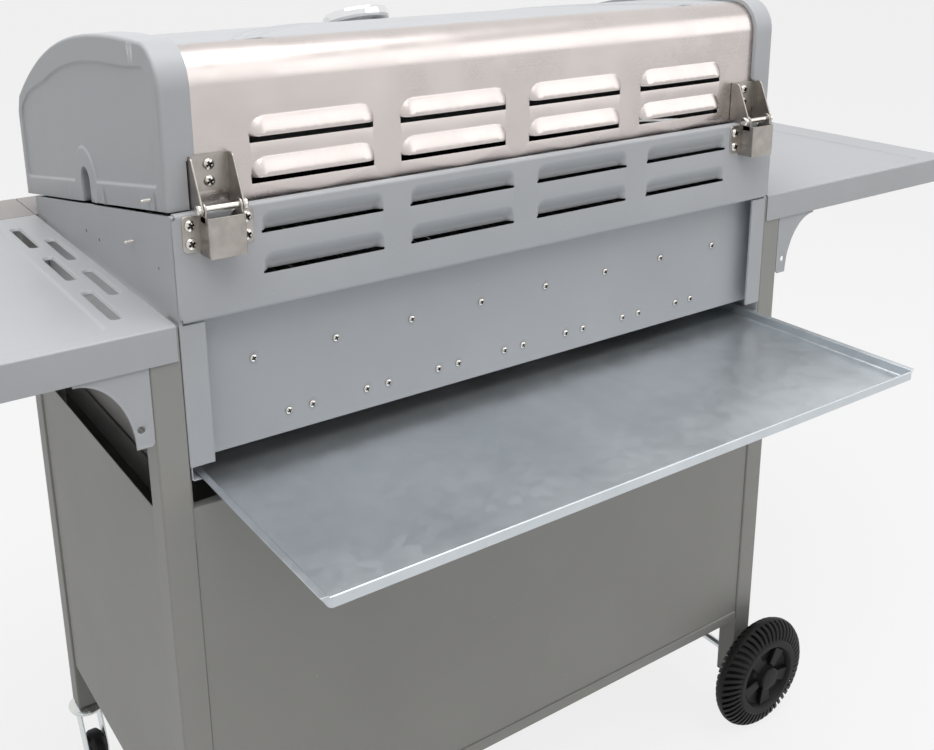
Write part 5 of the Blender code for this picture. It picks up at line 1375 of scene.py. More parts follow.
class GRILL_OT_brackets(bpy.types.Operator):
    """Builds the shelves' curved brackets, the front boards and the control panel"""

    bl_idname = "grill.brackets"
    bl_label = "Brackets, boards and control panel"

    def execute(self, context):
        for end, side in ENDS:
            gusset(end, side)
            xs = sorted((side * SHELF_START, side * 0.853))
            board = bent_board("shelf_board_" + end, xs, 0.09)
            hand_over(board, "frame", "light_paint", "board_" + end)
        control_panel()
        return {"FINISHED"}


def post(node, radius):
    """A square tube with rounded corners, and a black plug in its foot where no caster stands."""
    low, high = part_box(node)
    middle, half = (low + high) / 2, (high.x - low.x) / 2
    loops = [
        slot_loop((middle.x, middle.y), (2 * half - 2 * t, 2 * half - 2 * t), radius - t * 0.6, 5) for t in (0, 0.0015)
    ]
    verts, count = [], len(loops[0])
    for loop, z in ((loops[0], low.z + 0.0016), (loops[0], high.z), (loops[1], high.z), (loops[1], low.z + 0.02)):
        verts += [(x, y, z) for x, y in loop]
    faces = []
    for start in (0, count, 2 * count):
        for i in range(count):
            after = (i + 1) % count
            faces.append([start + i, start + after, start + count + after, start + count + i])
    faces += [list(range(count))[::-1], list(range(3 * count, 4 * count))]
    tube = bevelled(face_outwards(object_from(node + "_tube", verts, faces, "cart_paint")), 0.0004, 2, 50)
    hand_over(tube, "frame", "cart_paint", node)
    if "caster" not in node:
        foot = plate(node + "_plug", loops[0], "Z", (low.z, low.z + 0.0014), "wheel_plastic", 0.0006, 2, 50)
        hand_over(foot, "frame", "black_plastic")


def cart_panels():
    """The side panels between the posts, and the back panel with its top edge folded."""
    for end, side in ENDS:
        low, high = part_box("side_panel_" + end)
        outer = max(abs(low.x), abs(high.x))

        def place(u, v, h, side=side, outer=outer):
            return Vector((side * (outer + h), u, v))

        plan = box_loop(low.yz, high.yz, 0, 0.0012, 3)
        panel = pressed_sheet("side_sheet_" + end, plan, place, "cart_paint", spacing=0.03, thickness=0.0011)
        hand_over(panel, "frame", "cart_paint", "side_panel_" + end)
    low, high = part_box("back_panel")
    face = high.y

    def upright(u, v, h):
        return Vector((u, face + h, v))

    left, right, top = low.x + 0.0002, high.x - 0.0002, high.z - 0.0015
    plan = [(left, low.z), (right, low.z), (right, top), (left, top)]

    def bare(u, v):
        return v < high.z - 0.002

    rows = [(0.0004, 0.0002), (0.0011, 0.0006), (0.0015, 0.0015), (0.0015, 0.012)]
    panel = pressed_sheet(
        "back_sheet", plan, upright, "cart_paint", skirt=rows, bare=bare, spacing=0.04, thickness=0.0011
    )
    hand_over(panel, "frame", "cart_paint", "back_panel")


def cart_floor(sizes):
    """The floor with its sunken field and its lip all round."""
    low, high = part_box("cart_floor")
    fold = sizes.fold
    plan = box_loop(low, high, fold, 0.0012, 3)
    field = box_loop(low, high, 0.03, 0.018, 6)
    holes = [arc((side * DOOR_PIN[0], DOOR_PIN[1]), 0.0036, 0, 345, 15)[::-1] for side in (-1, 1)]

    def press(u, v):
        return -0.0015 * eased(gap_to((u, v), field) / 0.004) if inside((u, v), field) else 0.0

    def place(u, v, h):
        return Vector((u, v, high.z + h))

    points = rings_of(field, (0, 0.001, 0.002, 0.003, 0.004), 0.02)
    skirt = quarter(fold, 0.015)
    floor = pressed_sheet(
        "floor_sheet", plan, place, "cart_paint", press, holes, points, skirt=skirt, spacing=0.03, thickness=0.0011
    )
    hand_over(floor, "frame", "cart_paint", "cart_floor")


def cart_rails():
    """The side rails below the firebox and the bar above the doors."""
    for end, side in ENDS:
        low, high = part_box("cart_rail_" + end)
        far = side * WALL
        path = [(far, low.z), (far, high.z), (far - side * 0.0135, high.z)]
        outline = band(rounded(path, 0.002, 4), side * 0.0012)
        rail = plate("side_rail_" + end, outline, "Y", (low.y, high.y), "cart_paint", 0.0003)
        apron = block(
            "apron", sorted((far, far - side * 0.0012)), (-0.27, low.y + 0.4894), (0.6, low.z + 0.004), "cart_paint"
        )
        hand_over(
            joined("side_rail_" + end, [rail, bevelled(apron, 0.0003)]), "frame", "cart_paint", "cart_rail_" + end
        )
    low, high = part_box("door_crossbar")
    bar = block("front_bar", (low.x, high.x), (low.y, high.y), (low.z, high.z), "cart_paint")
    for side in (-1, 1):
        seat = (side * DOOR_PIN[0], DOOR_PIN[1])
        boolean(bar, rod("bore", "Z", seat, (low.z - 0.01, low.z + 0.013), 0.0035, "cart_paint", 16))
    hand_over(bevelled(bar, 0.002, 3, 50), "frame", "cart_paint", "door_crossbar")


class GRILL_OT_cart(bpy.types.Operator):
    """Builds the cart's posts, rails, floor, side panels and back panel"""

    bl_idname = "grill.cart"
    bl_label = "Cart frame and panels"

    def execute(self, context):
        sizes = context.scene.grill_cart
        for row in ("rear", "front"):
            for end in ("caster_end", "wheel_end"):
                post("post_" + row + "_" + end, sizes.post_round)
        cart_panels()
        cart_floor(sizes)
        cart_rails()
        return {"FINISHED"}


def door(end, side, body, fold):
    """A folded pan with a return all round and a pin at each end."""
    low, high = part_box("door_" + end)
    low_z, high_z = low.z + 0.014, high.z - 0.014
    plan = box_loop((low.x, low_z), (high.x, high_z), fold, 0.002)

    def place(u, v, h):
        return Vector((u, low.y - h, v))

    rows = quarter(fold, 0.0135) + [(fold - 0.0008, 0.0149), (fold - 0.002, 0.015), (fold - 0.0158, 0.015)]
    # Rings of points inside the flat keep the edge's shading from streaking over it
    points = rings_of(plan, (0.0012, 0.003, 0.008, 0.02), 0.012)
    skin = pressed_sheet(
        "door_skin_" + end, plan, place, "cart_paint", None, (), points, skirt=rows, spacing=0.03, thickness=0.0011
    )
    pins = []
    for ends in ((low.z, low_z + 0.004), (high_z - 0.004, high.z)):
        pins.append(rod("pin", "Z", (side * DOOR_PIN[0], DOOR_PIN[1]), ends, 0.0029, "zinc_plate", 20, 0.0006))
    hand_over(skin, body, "cart_paint", "door_" + end)
    hand_over(joined("door_pins_" + end, pins), body, "zinc_plate")


def door_handle(end, body):
    """A bent bar with rounded edges and two feet."""
    low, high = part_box("door_handle_" + end)
    path = [(high.y, high.z), (low.y, high.z), (low.y, low.z), (high.y, low.z)]
    outline = band(rounded(path, 0.014, 8), 0.0088)
    bar = plate("door_pull_" + end, outline, "X", (low.x, high.x), "chrome", 0.0028, 4, 50)
    hand_over(bar, body, "chrome", "door_handle_" + end)


class GRILL_OT_doors(bpy.types.Operator):
    """Builds the two doors with their pins and bar handles"""

    bl_idname = "grill.doors"
    bl_label = "Doors"

    def execute(self, context):
        for end, side in ENDS:
            body = "door_" + ("caster_side" if side > 0 else "wheel_side")
            door(end, side, body, context.scene.grill_cart.fold)
            door_handle(end, body)
        return {"FINISHED"}


def grease_tray():
    """The tray's folded pan with its wings and hems."""
    low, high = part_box("grease_tray")
    half, flange = 0.404, 0.0065
    bottom, top = low.z, high.z
    plan = slot_loop((0, (low.y + high.y) / 2), (2 * half - 0.005, high.y - low.y - 0.005), 0.003, 4)
    spread, rise = 0.0025, top - bottom - 0.0017
    rows = [
        (0.0006, 0.0003), (0.0015, 0.0009), (0.0022, 0.0018), (spread, 0.0028), (spread, rise), (spread, rise + 0.001)
    ]
    grid = [(x * 0.02, low.y + 0.012 + k * 0.022) for x in range(-19, 20) for k in range(21)]

    def under(u, v, h):
        return Vector((u, v, bottom + (-h) + 0.0004 + (0.0004 * math.sin(u * 9.0) if h == 0 else 0)))

    pan = pressed_sheet(
        "tray_pan", plan, under, "galvanised", None, (), grid, skirt=rows, thickness=0.001, spacing=0.02
    )
    parts = [pan]
    for side in (-1, 1):
        xs = sorted((side * (half - 0.0005), side * (half + flange)))
        wing = block("wing", xs, (low.y + 0.003, high.y - 0.003), (top - 0.0012, top), "galvanised")
        parts.append(bevelled(wing, 0.0004, 2, 50))
    for y in (low.y + 0.0012, high.y - 0.0012):
        span = (-half + 0.001, half - 0.001)
        parts.append(rod("hem", "X", (y, top - 0.0011), span, 0.0011, "galvanised", 16, 0.0004))
    hand_over(joined("tray", parts), "tray", "zinc_plate", "grease_tray")


class GRILL_OT_tray(bpy.types.Operator):
    """Builds the galvanised grease tray"""

    bl_idname = "grill.tray"
    bl_label = "Grease tray"

    def execute(self, context):
        grease_tray()
        return {"FINISHED"}


# Cooking parts, gas train and running gear


class GearSizes(bpy.types.PropertyGroup):
    """Counts and sizes of the cooking parts and the running gear."""

    lugs: IntProperty(name="Tread lugs", description="Lugs round each wheel", default=50, min=12)
    spokes: IntProperty(name="Spokes", description="Spokes of each wheel", default=5, min=3)
    bars: IntProperty(name="Grate bars", description="Bars of each grate", default=21, min=5)
    ports: IntProperty(name="Burner ports", description="Ports along each side of a burner", default=44, min=8)


def burners(ports):
    """Four ported tubes."""
    z = up(KNOB_RISE)
    for number, x in enumerate(KNOB_PLACES, 1):
        low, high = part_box("burner_" + str(number))
        near = [
            (0.0124, 0.09), (0.0112, 0.075), (0.0112, 0.03), (0.0124, 0.022), (0.0124, 0), (0.0105, 0), (0.0105, 0.02)
        ]
        tube = [(0, high.y), (0.0118, high.y), (0.0124, high.y - 0.001)]
        tube += [(r, low.y + depth) for r, depth in near + [(0, 0.02)]]
        parts = [turned("tube", "Y", (x, z), tube, "bare_steel", 32)]
        port = rod("port", "X", (0, 0), (0.0116, 0.01248), 0.0011, "grate_iron", 8)
        for way in (0, 180):
            step = (0, (high.y - low.y - 0.13) / (ports - 1), 0)
            row = copies("ports", port, ports, (x, low.y + 0.11, z), step, keep=True)
            if way:
                axis = Matrix.Translation((x, 0, z))
                row.data.transform(axis @ Matrix.Rotation(math.pi, 4, "Y") @ axis.inverted())
            parts.append(row)
        drop(port)
        hand_over(joined("burner_tube_" + str(number), parts), "frame", "stainless", "burner_" + str(number))


def heat_plate():
    """The folded tents over the burners with their drains and vents."""
    low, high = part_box("heat_plate")
    path = [(low.x, up(-0.042))]
    for x in KNOB_PLACES:
        path += [(x - 0.055, up(-0.042)), (x, up(-0.012)), (x + 0.055, up(-0.042))]
    path.append((high.x, up(-0.042)))
    at, lengths = follow(rounded(path, 0.006))
    steps = [lengths[-1] * k / 2000 for k in range(2000)]

    def length_at(x):
        return min(steps, key=lambda s: abs(at(s)[0] - x))

    holes = []
    for i in range(3):
        v = length_at((i - 1) * KNOB_PITCH)
        holes.append(slot_loop((v, (low.y + high.y) / 2), (0.039, high.y - low.y - 0.101), 0.006)[::-1])
    for middle_x in KNOB_PLACES:
        for way in (-1, 1):
            v = length_at(middle_x + way * 0.03)
            for k in range(6):
                holes.append(slot_loop((v, low.y + 0.07 + k * 0.065), (0.005, 0.03), 0.0024, 3)[::-1])

    def place(u, v, h):
        x, z = at(u, h)
        return Vector((x, v, z))

    plan = [(0, low.y), (lengths[-1], low.y), (lengths[-1], high.y), (0, high.y)]
    lines = [[(s, v) for v, s in line] for line in fold_lines(lengths[1:-1], low.y, high.y)]
    tents = pressed_sheet(
        "heat_tents", plan, place, "bare_steel", None, holes, lines=lines, thickness=0.0013, spacing=0.03
    )
    hand_over(tents, "frame", "stainless", "heat_plate")


def manifold():
    """The pipe with its valves and stems, and the brass inlet with its nut."""
    z = up(KNOB_RISE)
    y = back(0.6047 - 0.0505)
    half = 0.37
    pipe = [(0, -half), (0.0115, -half), (0.0125, -half + 0.001), (0.0125, half - 0.001), (0.0115, half), (0, half)]
    parts = [turned("pipe", "X", (y, z), pipe, "zinc_plate", 32)]
    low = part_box("manifold")[0]
    front = back(0.6047 - 0.0018)
    for x in KNOB_PLACES:
        body = [
            (0, y + 0.001), (0.0118, y), (0.0118, y - 0.016), (0.0098, y - 0.019), (0.0098, y - 0.026),
            (0.0116, y - 0.029)
        ]
        body += [(0.0116, front), (0, front)]
        parts.append(turned("valve", "Y", (x, z), soft_profile(body, 0.0008, 2), "zinc_plate", 8, 25))
        stem = [(0, front), (0.0038, front), (0.0038, low.y + 0.0006), (0.0032, low.y + 0.0001), (0, low.y + 0.0001)]
        parts.append(turned("stem", "Y", (x, z), stem, "zinc_plate", 20))
    hand_over(joined("gas_manifold", parts), "frame", "zinc_plate", "manifold")
    low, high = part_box("gas_inlet")
    nut = [(0, high.x), (0.0105, high.x), (0.011, high.x - 0.001), (0.011, low.x + 0.013), (0.0102, low.x + 0.012)]
    parts = [turned("nut", "X", (y, z), nut + [(0, low.x + 0.012)], "brass", 6, 25)]
    neck = [(0, low.x + 0.012)]
    for k in range(8):
        neck += [(0.0072, low.x + 0.0115 - k * 0.0014), (0.0079, low.x + 0.0108 - k * 0.0014)]
    neck += [(0.0068, low.x), (0.0045, low.x), (0.0045, low.x + 0.006), (0, low.x + 0.006)]
    parts.append(turned("neck", "X", (y, z), neck, "brass", 32, 25))
    hand_over(joined("inlet", parts), "frame", "bright_steel", "gas_inlet")


class GRILL_OT_burners(bpy.types.Operator):
    """Builds the burners, the heat plate, the manifold and the gas inlet"""

    bl_idname = "grill.burners"
    bl_label = "Burners and gas train"

    def execute(self, context):
        burners(context.scene.grill_gear.ports)
        heat_plate()
        manifold()
        return {"FINISHED"}


def grate(number, count):
    """One cast grate: bars with a tapered section between a rounded frame."""
    low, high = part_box("grate_" + str(number))
    flank = [(0.0026, low.z), (0.0038, high.z - 0.0016), (0.0026, high.z)]
    section = [(-0.0026, low.z)] + flank + [(-x, z) for x, z in flank[:0:-1]]
    bar = prism("bar", section, "Y", (low.y + 0.004, high.y - 0.004), "grate_iron")
    pitch = (high.x - low.x - 0.008) / (count - 1)
    parts = [copies("bars", bevelled(bar, 0.0008, 2), count, (low.x + 0.004, 0, 0), (pitch, 0, 0))]
    for y in (low.y + 0.004, (low.y + high.y) / 2, high.y - 0.004):
        tie = block(
            "tie", (low.x + 0.0002, high.x - 0.0002), (y - 0.0039, y + 0.0039), (low.z + 0.0006, high.z - 0.0012),
            "grate_iron"
        )
        parts.append(bevelled(tie, 0.0012, 3, 50))
    hand_over(joined("cast_grate_" + str(number), parts), "frame", "cast_iron", "grate_" + str(number))


def warming_rack():
    """The warming rack: bright wires welded to cross wires."""
    low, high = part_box("warming_rack")
    z = (low.z + high.z) / 2
    wire = rod("wire", "X", (0, 0), (low.x + 0.001, high.x - 0.001), 0.0017, "chrome", 12, 0.0008)
    pitch = (high.y - low.y - 0.0036) / 8
    parts = [copies("wires", wire, 9, (0, low.y + 0.0018, z + 0.0006), (0, pitch, 0))]
    cross = rod("cross", "Y", (0, 0), (low.y, high.y), 0.0018, "chrome", 12, 0.0008)
    third = (high.x - low.x - 0.006) / 3
    parts.append(copies("crosses", cross, 4, (low.x + 0.003, 0, z - 0.0006), (third, 0, 0)))
    hand_over(joined("rack_wires", parts), "frame", "chrome", "warming_rack")


class GRILL_OT_grates(bpy.types.Operator):
    """Builds the cooking grates and the warming rack"""

    bl_idname = "grill.grates"
    bl_label = "Grates and warming rack"

    def execute(self, context):
        for number in (1, 2):
            grate(number, context.scene.grill_gear.bars)
        warming_rack()
        return {"FINISHED"}


def knobs():
    """Four ribbed knobs with their marks, and the button between them."""
    z = up(KNOB_RISE)
    face = back(PANEL_FRONT) - 0.0005
    for number, x in enumerate(KNOB_PLACES, 1):
        parts = [turned_knob()]
        rib = block("rib", (0.0177, 0.0189), (-0.0282, -0.0085), (-0.0009, 0.0009), "knob_plastic")
        parts.append(copies("ribs", bevelled(rib, 0.0004, 2), 24, turn=(0, math.radians(15), 0)))
        mark = block("mark", (-0.0008, 0.0008), (-0.0318, -0.0308), (0.003, 0.016), "mark_white")
        parts.append(bevelled(mark, 0.0002, 1))
        knob = joined("knob_" + str(number) + "_cap", parts)
        hand_over(shifted(knob, x, face, z), "knob_" + str(number) + "_body", "black_plastic", "knob_" + str(number))
    low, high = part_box("igniter_button")
    cap = [(0, low.y), (0.0085, low.y), (0.0105, low.y + 0.0012), (0.0109, low.y + 0.0058)]
    cap = soft_profile(cap + [(0.0069, low.y + 0.0064), (0.0069, high.y), (0, high.y)], 0.0007)
    parts = [turned("cap", "Y", (0, z), cap, "knob_plastic", 48)]
    for k in range(5):
        bolt = block("spark", (-0.0007, 0.0007), (low.y, low.y + 0.0004), (0.0022, 0.0052), "mark_white")
        parts.append(bevelled(shifted(spun(bolt, 72 * k, "Y"), 0, 0, z), 0.0001, 1))
    hand_over(joined("spark_button", parts), "igniter", "black_plastic", "igniter_button")


def turned_knob():
    """A turned knob with a flared skirt and a raised grip, its seat at the origin."""
    shape = [
        (0.0042, -0.011), (0.0042, -0.0002), (0.0247, -0.0002), (0.0248, -0.0035), (0.0238, -0.0066), (0.0196, -0.0079)
    ]
    shape += [
        (0.0184, -0.0095), (0.0176, -0.0285), (0.0162, -0.0314), (0.0145, -0.0316), (0.0135, -0.0306), (0, -0.0306)
    ]
    made = turned("knob", "Y", (0, 0), soft_profile(shape, 0.0007), "knob_plastic", 64)
    bar = prism("grip", slot_loop((0, 0), (0.0104, 0.033), 0.003), "Y", (-0.0314, -0.0305), "knob_plastic")
    return joined("knob", [made, bevelled(bar, 0.0003, 2, 40)])


class GRILL_OT_knobs(bpy.types.Operator):
    """Builds the four control knobs and the spark button"""

    bl_idname = "grill.knobs"
    bl_label = "Knobs and spark button"

    def execute(self, context):
        knobs()
        return {"FINISHED"}


def wheels(gear):
    """The two wheels at the axle's ends."""
    for place, way in (("rear", 1), ("front", -1)):
        wheel = lugged_wheel(gear)
        low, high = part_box("wheel_" + place)
        inner = low.y if way > 0 else high.y
        if way < 0:
            wheel.data.transform(Matrix.Scale(-1, 4, (0, 1, 0)))
            wheel.data.flip_normals()
        hand_over(shifted(wheel, AXLE[0], inner, AXLE[1]), place + "_wheel", "black_plastic", "wheel_" + place)


def lugged_wheel(gear):
    """One wheel about the Y axis, its inner face at zero and its outer face towards +Y."""
    bore, wide = 0.0066, 0.04
    ring = [(0, 0.0449), (bore, 0.0448), (bore, 0), (0.018, 0), (0.018, 0.007), (0.022, 0.0092)]
    ring += [(0.043, 0.0092), (0.048, 0.003), (0.0495, 0)]
    tyre = [(0.0585, 0), (0.0605, 0.0012), (0.0655, 0.0045), (0.0705, 0.008), (0.0755, 0.0115)]
    tyre += [(0.08, 0.0145), (0.0845, 0.0152), (0.0862, 0.0153), (0.0872, 0.0158), (0.0879, 0.0175)]
    ring += tyre + [(r, wide - side) for r, side in tyre[::-1]]
    ring += [
        (0.0515, 0.04), (0.0502, 0.0392), (0.0488, 0.037), (0.0462, 0.0305), (0.042, 0.0285), (0.0235, 0.0285),
        (0.0195, 0.0315)
    ]
    ring += [(0.0178, 0.0355), (0.0176, 0.04), (0.0172, 0.0425), (0.015, 0.0441), (0.009, 0.0449), (0, 0.0451)]
    parts = [turned("wheel", "Y", (0, 0), ring, "wheel_plastic", 96, 28)]
    parts += [tread_lugs(gear.lugs, way, wide) for way in (1, -1)]
    parts.append(copies("spokes", wheel_spoke(), gear.spokes, turn=(0, math.tau / gear.spokes, 0)))
    return joined("wheel", parts)


def tread_lugs(count, way, wide):
    """One row of bent lugs from the tread's band down to the sidewall."""
    path = [
        (0.0598, 0.0008), (0.0665, 0.0016), (0.0738, 0.0034), (0.0802, 0.0066), (0.0846, 0.0106), (0.0868, 0.0146),
        (0.0874, 0.0166)
    ]
    lean = (0, 0, 0.002, 0.007, 0.014, 0.021, 0.024)
    width, pitch = 0.6, math.tau / count
    verts, faces = [], []
    for k, (radius, side_y) in enumerate(path):
        y = side_y if way < 0 else wide - side_y
        for share, sink in ((-0.5, 0.0055), (-0.42, 0), (0.42, 0), (0.5, 0.0055)):
            turn = share * width * pitch + lean[k] * way * 3.2
            r = radius - sink
            verts.append((r * math.sin(turn), y, r * math.cos(turn)))
    for k in range(len(path) - 1):
        for i in range(3):
            a = k * 4 + i
            faces.append([a, a + 1, a + 5, a + 4])
        faces.append([k * 4 + 3, k * 4, k * 4 + 4, k * 4 + 7])
    faces += [[0, 1, 2, 3], [len(verts) - 4 + i for i in (3, 2, 1, 0)]]
    lug = settle(face_outwards(object_from("lug", verts, faces, "wheel_plastic")), 50, False)
    return copies("lugs", lug, count, turn=(0, pitch, 0))


def wheel_spoke():
    """One broad spoke that rises from the web between hub and rim."""
    near, far, low, high = 0.0185, 0.047, 0.0275, 0.0345
    outline = [(near, -0.0066), (far, -0.0112), (far, 0.0112), (near, 0.0066)]
    made = prism("spoke", outline, "Y", (low, high + 0.0015), "wheel_plastic")
    return bevelled(spun(made, 18, "Y"), 0.0012, 3)


def axle_rod():
    """The axle with its collars."""
    low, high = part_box("axle")
    rear, front = back(CART_REAR), back(CART_FRONT)
    shape = [
        (0, low.y), (0.0045, low.y), (0.0059, low.y + 0.001), (0.0059, high.y - 0.001), (0.0045, high.y), (0, high.y)
    ]
    parts = [turned("rod", "Y", AXLE, shape, "zinc_plate", 28)]
    for span in ((rear + 0.0005, rear + 0.0175), (front - 0.0175, front - 0.0005)):
        parts.append(rod("collar", "Y", AXLE, span, 0.0108, "zinc_plate", 28, 0.0008))
    hand_over(joined("axle_rod", parts), "frame", "zinc_plate", "axle")


class GRILL_OT_wheels(bpy.types.Operator):
    """Builds the two wheels with their lugs and spokes, and the axle"""

    bl_idname = "grill.wheels"
    bl_label = "Wheels and axle"

    def execute(self, context):
        wheels(context.scene.grill_gear)
        axle_rod()
        return {"FINISHED"}


def caster(place):
    """One caster: stem, bearing head, pressed fork, pin and wheel."""
    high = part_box("caster_fork_" + place)[1]
    wheel_low, wheel_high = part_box("caster_wheel_" + place)
    x = -AXLE[0]
    y = back(CART_REAR + 0.016) if place == "rear" else back(CART_FRONT - 0.016)
    top = 0.105 - 0.0003
    head = [(0, 0.0002), (0.012, 0.0002), (0.0175, 0.0012), (0.0238, 0.003), (0.0266, 0.0048), (0.0262, 0.0064)]
    head += [(0.0222, 0.0066), (0.0222, 0.0076), (0.0245, 0.0078), (0.0248, 0.0098), (0.021, 0.0108), (0, 0.0108)]
    head = [(r, top - drop) for r, drop in head]
    parts = [turned("head", "Z", (x, y), soft_profile(head, 0.0006, 2), "zinc_plate", 56)]
    stem = [(0, top - 0.002), (0.0078, top - 0.002), (0.0078, high.z - 0.002), (0.006, high.z), (0, high.z)]
    parts.append(turned("stem", "Z", (x, y), stem, "zinc_plate", 28))
    pin_y, pin_z = (wheel_low.y + wheel_high.y) / 2, (wheel_low.z + wheel_high.z) / 2
    half = 0.5 * wheel_high.x - 0.5 * wheel_low.x
    inner, outer = half + 0.0018, half + 0.0042
    cheek = [
        (y - 0.014, top - 0.0105), (y - 0.011, top - 0.03), (pin_y - 0.011, pin_z - 0.004), (pin_y, pin_z - 0.0105)
    ]
    cheek += [(pin_y + 0.011, pin_z - 0.004), (pin_y + 0.0125, pin_z + 0.012), (y + 0.014, top - 0.0105)]
    cheek = rounded(cheek, 0.009, 5, True)
    for way in (1, -1):
        span = sorted((x + way * inner, x + way * outer))
        parts.append(plate("cheek", cheek, "X", span, "zinc_plate", 0.0006, 2))
    parts.append(rod("pin", "X", (pin_y, pin_z), (x - outer, x + outer), 0.0039, "zinc_plate", 24, 0.0008))
    hand_over(joined("caster_fork_" + place + "_form", parts), place + "_caster", "zinc_plate", "caster_fork_" + place)
    radius = (wheel_high.z - wheel_low.z) / 2
    ring = [(0.0046, 0.8), (0.009, 0.8), (0.0098, 0.55), (0.019, 0.55), (0.0205, 0.9), (radius - 0.006, 1)]
    ring += [(radius - 0.0012, 0.62), (radius, 0.4)]
    ring = [(r, x - half * share) for r, share in ring] + [(r, x + half * share) for r, share in ring[::-1]]
    ring = soft_profile(ring, 0.0012)
    wheel = turned("caster_tyre_" + place, "X", (pin_y, pin_z), ring, "wheel_plastic", 64, 30)
    hand_over(wheel, place + "_caster_roller", "black_plastic", "caster_wheel_" + place)


class GRILL_OT_casters(bpy.types.Operator):
    """Builds the two swivel casters"""

    bl_idname = "grill.casters"
    bl_label = "Casters"

    def execute(self, context):
        for place in ("rear", "front"):
            caster(place)
        return {"FINISHED"}


# Studio


class StudioSizes(bpy.types.PropertyGroup):
    """Colours and light of the studio and of the grill's finishes."""

    paint: FloatVectorProperty(
        name="Paint", description="Colour of the light powder coat", default=(0.47, 0.482, 0.502), subtype="COLOR"
    )
    # Darker than the light coat: partly the cart's own colour, partly painted shade for the dimmer light low down and
    # under the tray
    cart_paint: FloatVectorProperty(
        name="Cart paint", description="Colour of the cart's coat", default=(0.32, 0.316, 0.3), subtype="COLOR"
    )
    front_paint: FloatVectorProperty(
        name="Front paint", description="Colour of the front boards' coat", default=(0.33, 0.308, 0.299),
        subtype="COLOR"
    )
    steel: FloatVectorProperty(
        name="Lid steel", description="Colour of the bare lid sheet", default=(0.6, 0.548, 0.53), subtype="COLOR"
    )
    ground: FloatVectorProperty(
        name="Floor", description="Colour of the studio floor", default=(0.8, 0.8, 0.8), subtype="COLOR"
    )
    lamp: FloatProperty(name="Top lamp", description="Power of the large soft lamp above", default=84.0, unit="POWER")
    side_lamp: FloatProperty(
        name="Side lamp", description="Power of the soft lamp beside the camera", default=24.0, unit="POWER"
    )
    sky: FloatProperty(name="Sky", description="Strength of the studio's even light", default=0.4, min=0.0)


class GRILL_OT_finishes(bpy.types.Operator):
    """Builds every material of the grill"""

    bl_idname = "grill.finishes"
    bl_label = "Finishes"

    def execute(self, context):
        make_finishes(context.scene.grill_studio)
        return {"FINISHED"}


class GRILL_OT_carried(bpy.types.Operator):
    """Gives the carried-over wall its finish"""

    bl_idname = "grill.carried"
    bl_label = "Carried-over nodes"

    def execute(self, context):
        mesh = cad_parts["firebox_front_wall"].data
        mesh.materials.clear()
        mesh.materials.append(MATERIALS["light_paint"])
        return {"FINISHED"}


def sight_rays(tree):
    """One where a ray shows the background straight, in a gloss or through glass."""
    path = tree.nodes.new("ShaderNodeLightPath").outputs
    rays = Wave(tree, path["Is Camera Ray"]) + Wave(tree, path["Is Glossy Ray"])
    return rays + Wave(tree, path["Is Transmission Ray"]) > 0.5


def studio_floor(sizes):
    """A wide pale floor."""
    ground = Finish("studio_floor", 0.9, specular=0.1)
    ground.set("Base Color", ground.place.noise(1.5).tint(shade(sizes.ground, 0.995), sizes.ground))
    glow = ground.place.node("ShaderNodeEmission", Strength=1.0)
    mixed = glow.node(
        "ShaderNodeMixShader", i0=sight_rays(ground.tree) * 0.82, i1=Wave(ground.tree, ground.shader.outputs[0]),
        i2=glow
    )
    ground.tree.links.new(mixed.socket, ground.tree.nodes["Material Output"].inputs["Surface"])
    loop = arc((0, 0), 30.0, 0, 352.5, 47)
    made = object_from("studio_ground", [(x, y, 0) for x, y in loop], [range(48)], "studio_floor")


def studio_light(sizes):
    """An even pale surround, and a large soft lamp behind the camera."""
    world = bpy.data.worlds.new("studio")
    bpy.context.scene.world = world
    world.use_nodes = True
    tree = world.node_tree
    backing = tree.nodes["Background"]
    seen = sight_rays(tree)
    height = Wave(tree, tree.nodes.new("ShaderNodeTexCoord").outputs["Generated"])
    rise = height.node("ShaderNodeSeparateXYZ", out=2, i0=height).between(0.0, 1.0)
    level = (rise * rise * 0.8 + 0.35) * sizes.sky
    backing.inputs["Color"].default_value = (1, 1, 1, 1)
    tree.links.new((seen + (1 - seen) * level).socket, backing.inputs["Strength"])
    soft_box("top_lamp", (3.0, 3.0), sizes.lamp, (0.5, 0.55, 3.4), (0, 0, 0.6))
    soft_box("side_lamp", (3.2, 2.4), sizes.side_lamp, (-1.9, 2.5, 2.2), (0, 0.1, 0.95))


def soft_box(name, size, power, place, aim):
    """A large soft lamp that points at a place."""
    lamp = bpy.data.lights.new(name, "AREA")
    lamp.shape, lamp.size, lamp.size_y, lamp.energy = "RECTANGLE", *size, power
    holder = linked(name, lamp)
    holder.location = place
    holder.rotation_mode = "QUATERNION"
    holder.rotation_quaternion = (Vector(aim) - holder.location).to_track_quat("-Z", "Y")


def studio_camera(context):
    """A camera at the photographed angle."""
    lens = bpy.data.cameras.new("camera")
    lens.lens, lens.sensor_width, lens.shift_y = 43.2, 36.0, -0.15
    lens.clip_start, lens.clip_end = 0.05, 100.0
    made = linked("camera", lens)
    yaw, pitch = math.radians(34.9), math.radians(-16.41)
    look = Vector((-math.sin(yaw) * math.cos(pitch), -math.cos(yaw) * math.cos(pitch), math.sin(pitch)))
    made.location = (0.7703, 1.1763, 1.2258)
    turn = look.to_track_quat("-Z", "Y").to_matrix() @ Matrix.Rotation(-0.0063, 3, "Z")
    made.rotation_mode = "QUATERNION"
    made.rotation_quaternion = turn.to_quaternion()
    context.scene.camera = made


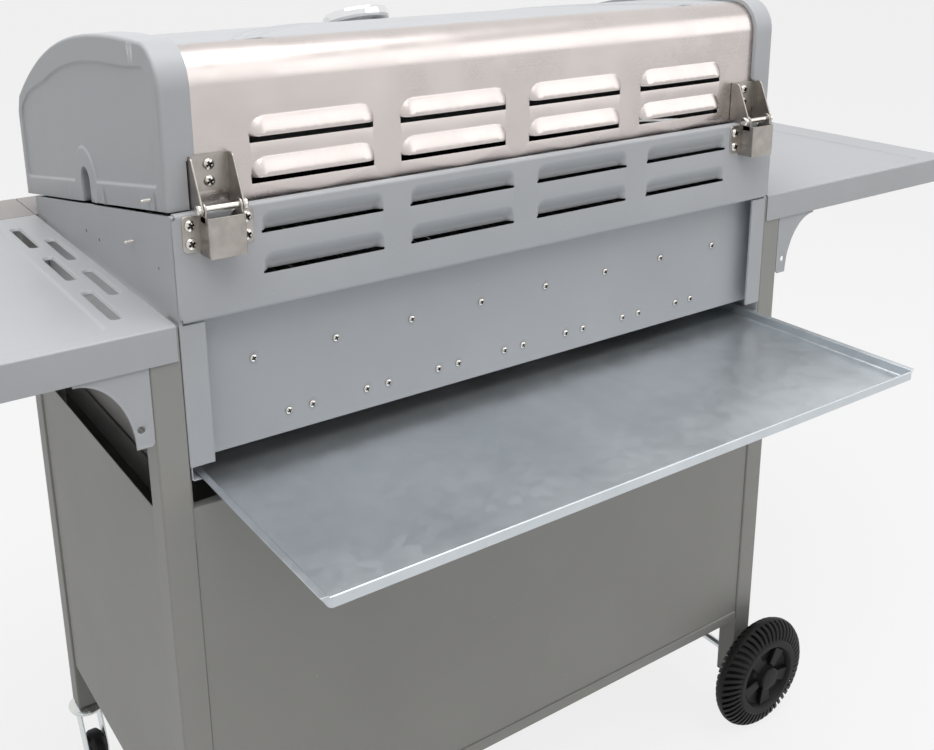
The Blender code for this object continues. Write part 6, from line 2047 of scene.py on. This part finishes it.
class GRILL_OT_studio(bpy.types.Operator):
    """Builds the floor, the light and the camera"""

    bl_idname = "grill.studio"
    bl_label = "Studio"

    def execute(self, context):
        sizes = context.scene.grill_studio
        studio_floor(sizes)
        studio_light(sizes)
        studio_camera(context)
        context.scene.view_settings.view_transform = "Standard"
        return {"FINISHED"}


OPERATORS = (
    GRILL_OT_finishes,
    GRILL_OT_carried,
    GRILL_OT_louvre_panel,
    GRILL_OT_lower_panel,
    GRILL_OT_lid_sheets,
    GRILL_OT_lid_caps,
    GRILL_OT_hinges,
    GRILL_OT_lid_handle,
    GRILL_OT_shelves,
    GRILL_OT_brackets,
    GRILL_OT_cart,
    GRILL_OT_doors,
    GRILL_OT_tray,
    GRILL_OT_burners,
    GRILL_OT_grates,
    GRILL_OT_knobs,
    GRILL_OT_wheels,
    GRILL_OT_casters,
    GRILL_OT_studio,
)
GROUPS = {
    "grill_firebox": FireboxSizes,
    "grill_lid": LidSizes,
    "grill_cart": CartSizes,
    "grill_gear": GearSizes,
    "grill_studio": StudioSizes,
}


class GRILL_PT_panel(bpy.types.Panel):
    """Lists the grill's sizes and the operators that build it"""

    bl_idname = "GRILL_PT_panel"
    bl_label = "Cart barbecue"
    bl_space_type = "VIEW_3D"
    bl_region_type = "UI"
    bl_category = "Barbecue"

    def draw(self, context):
        for name, group in GROUPS.items():
            box = self.layout.box()
            for key in group.__annotations__:
                box.prop(getattr(context.scene, name), key)
        for operator in OPERATORS:
            self.layout.operator(operator.bl_idname)


def register():
    """Registers the property groups, the operators and the panel."""
    for name, group in GROUPS.items():
        bpy.utils.register_class(group)
        setattr(bpy.types.Scene, name, PointerProperty(type=group))
    for made in (*OPERATORS, GRILL_PT_panel):
        bpy.utils.register_class(made)


def unregister():
    """Removes what register added."""
    for made in (GRILL_PT_panel, *reversed(OPERATORS)):
        bpy.utils.unregister_class(made)
    for name, group in reversed(GROUPS.items()):
        delattr(bpy.types.Scene, name)
        bpy.utils.unregister_class(group)


def main():
    """Builds the whole scene."""
    register()
    for operator in OPERATORS:
        group, name = operator.bl_idname.split(".")
        getattr(getattr(bpy.ops, group), name)()


if __name__ == "__main__":
    main()
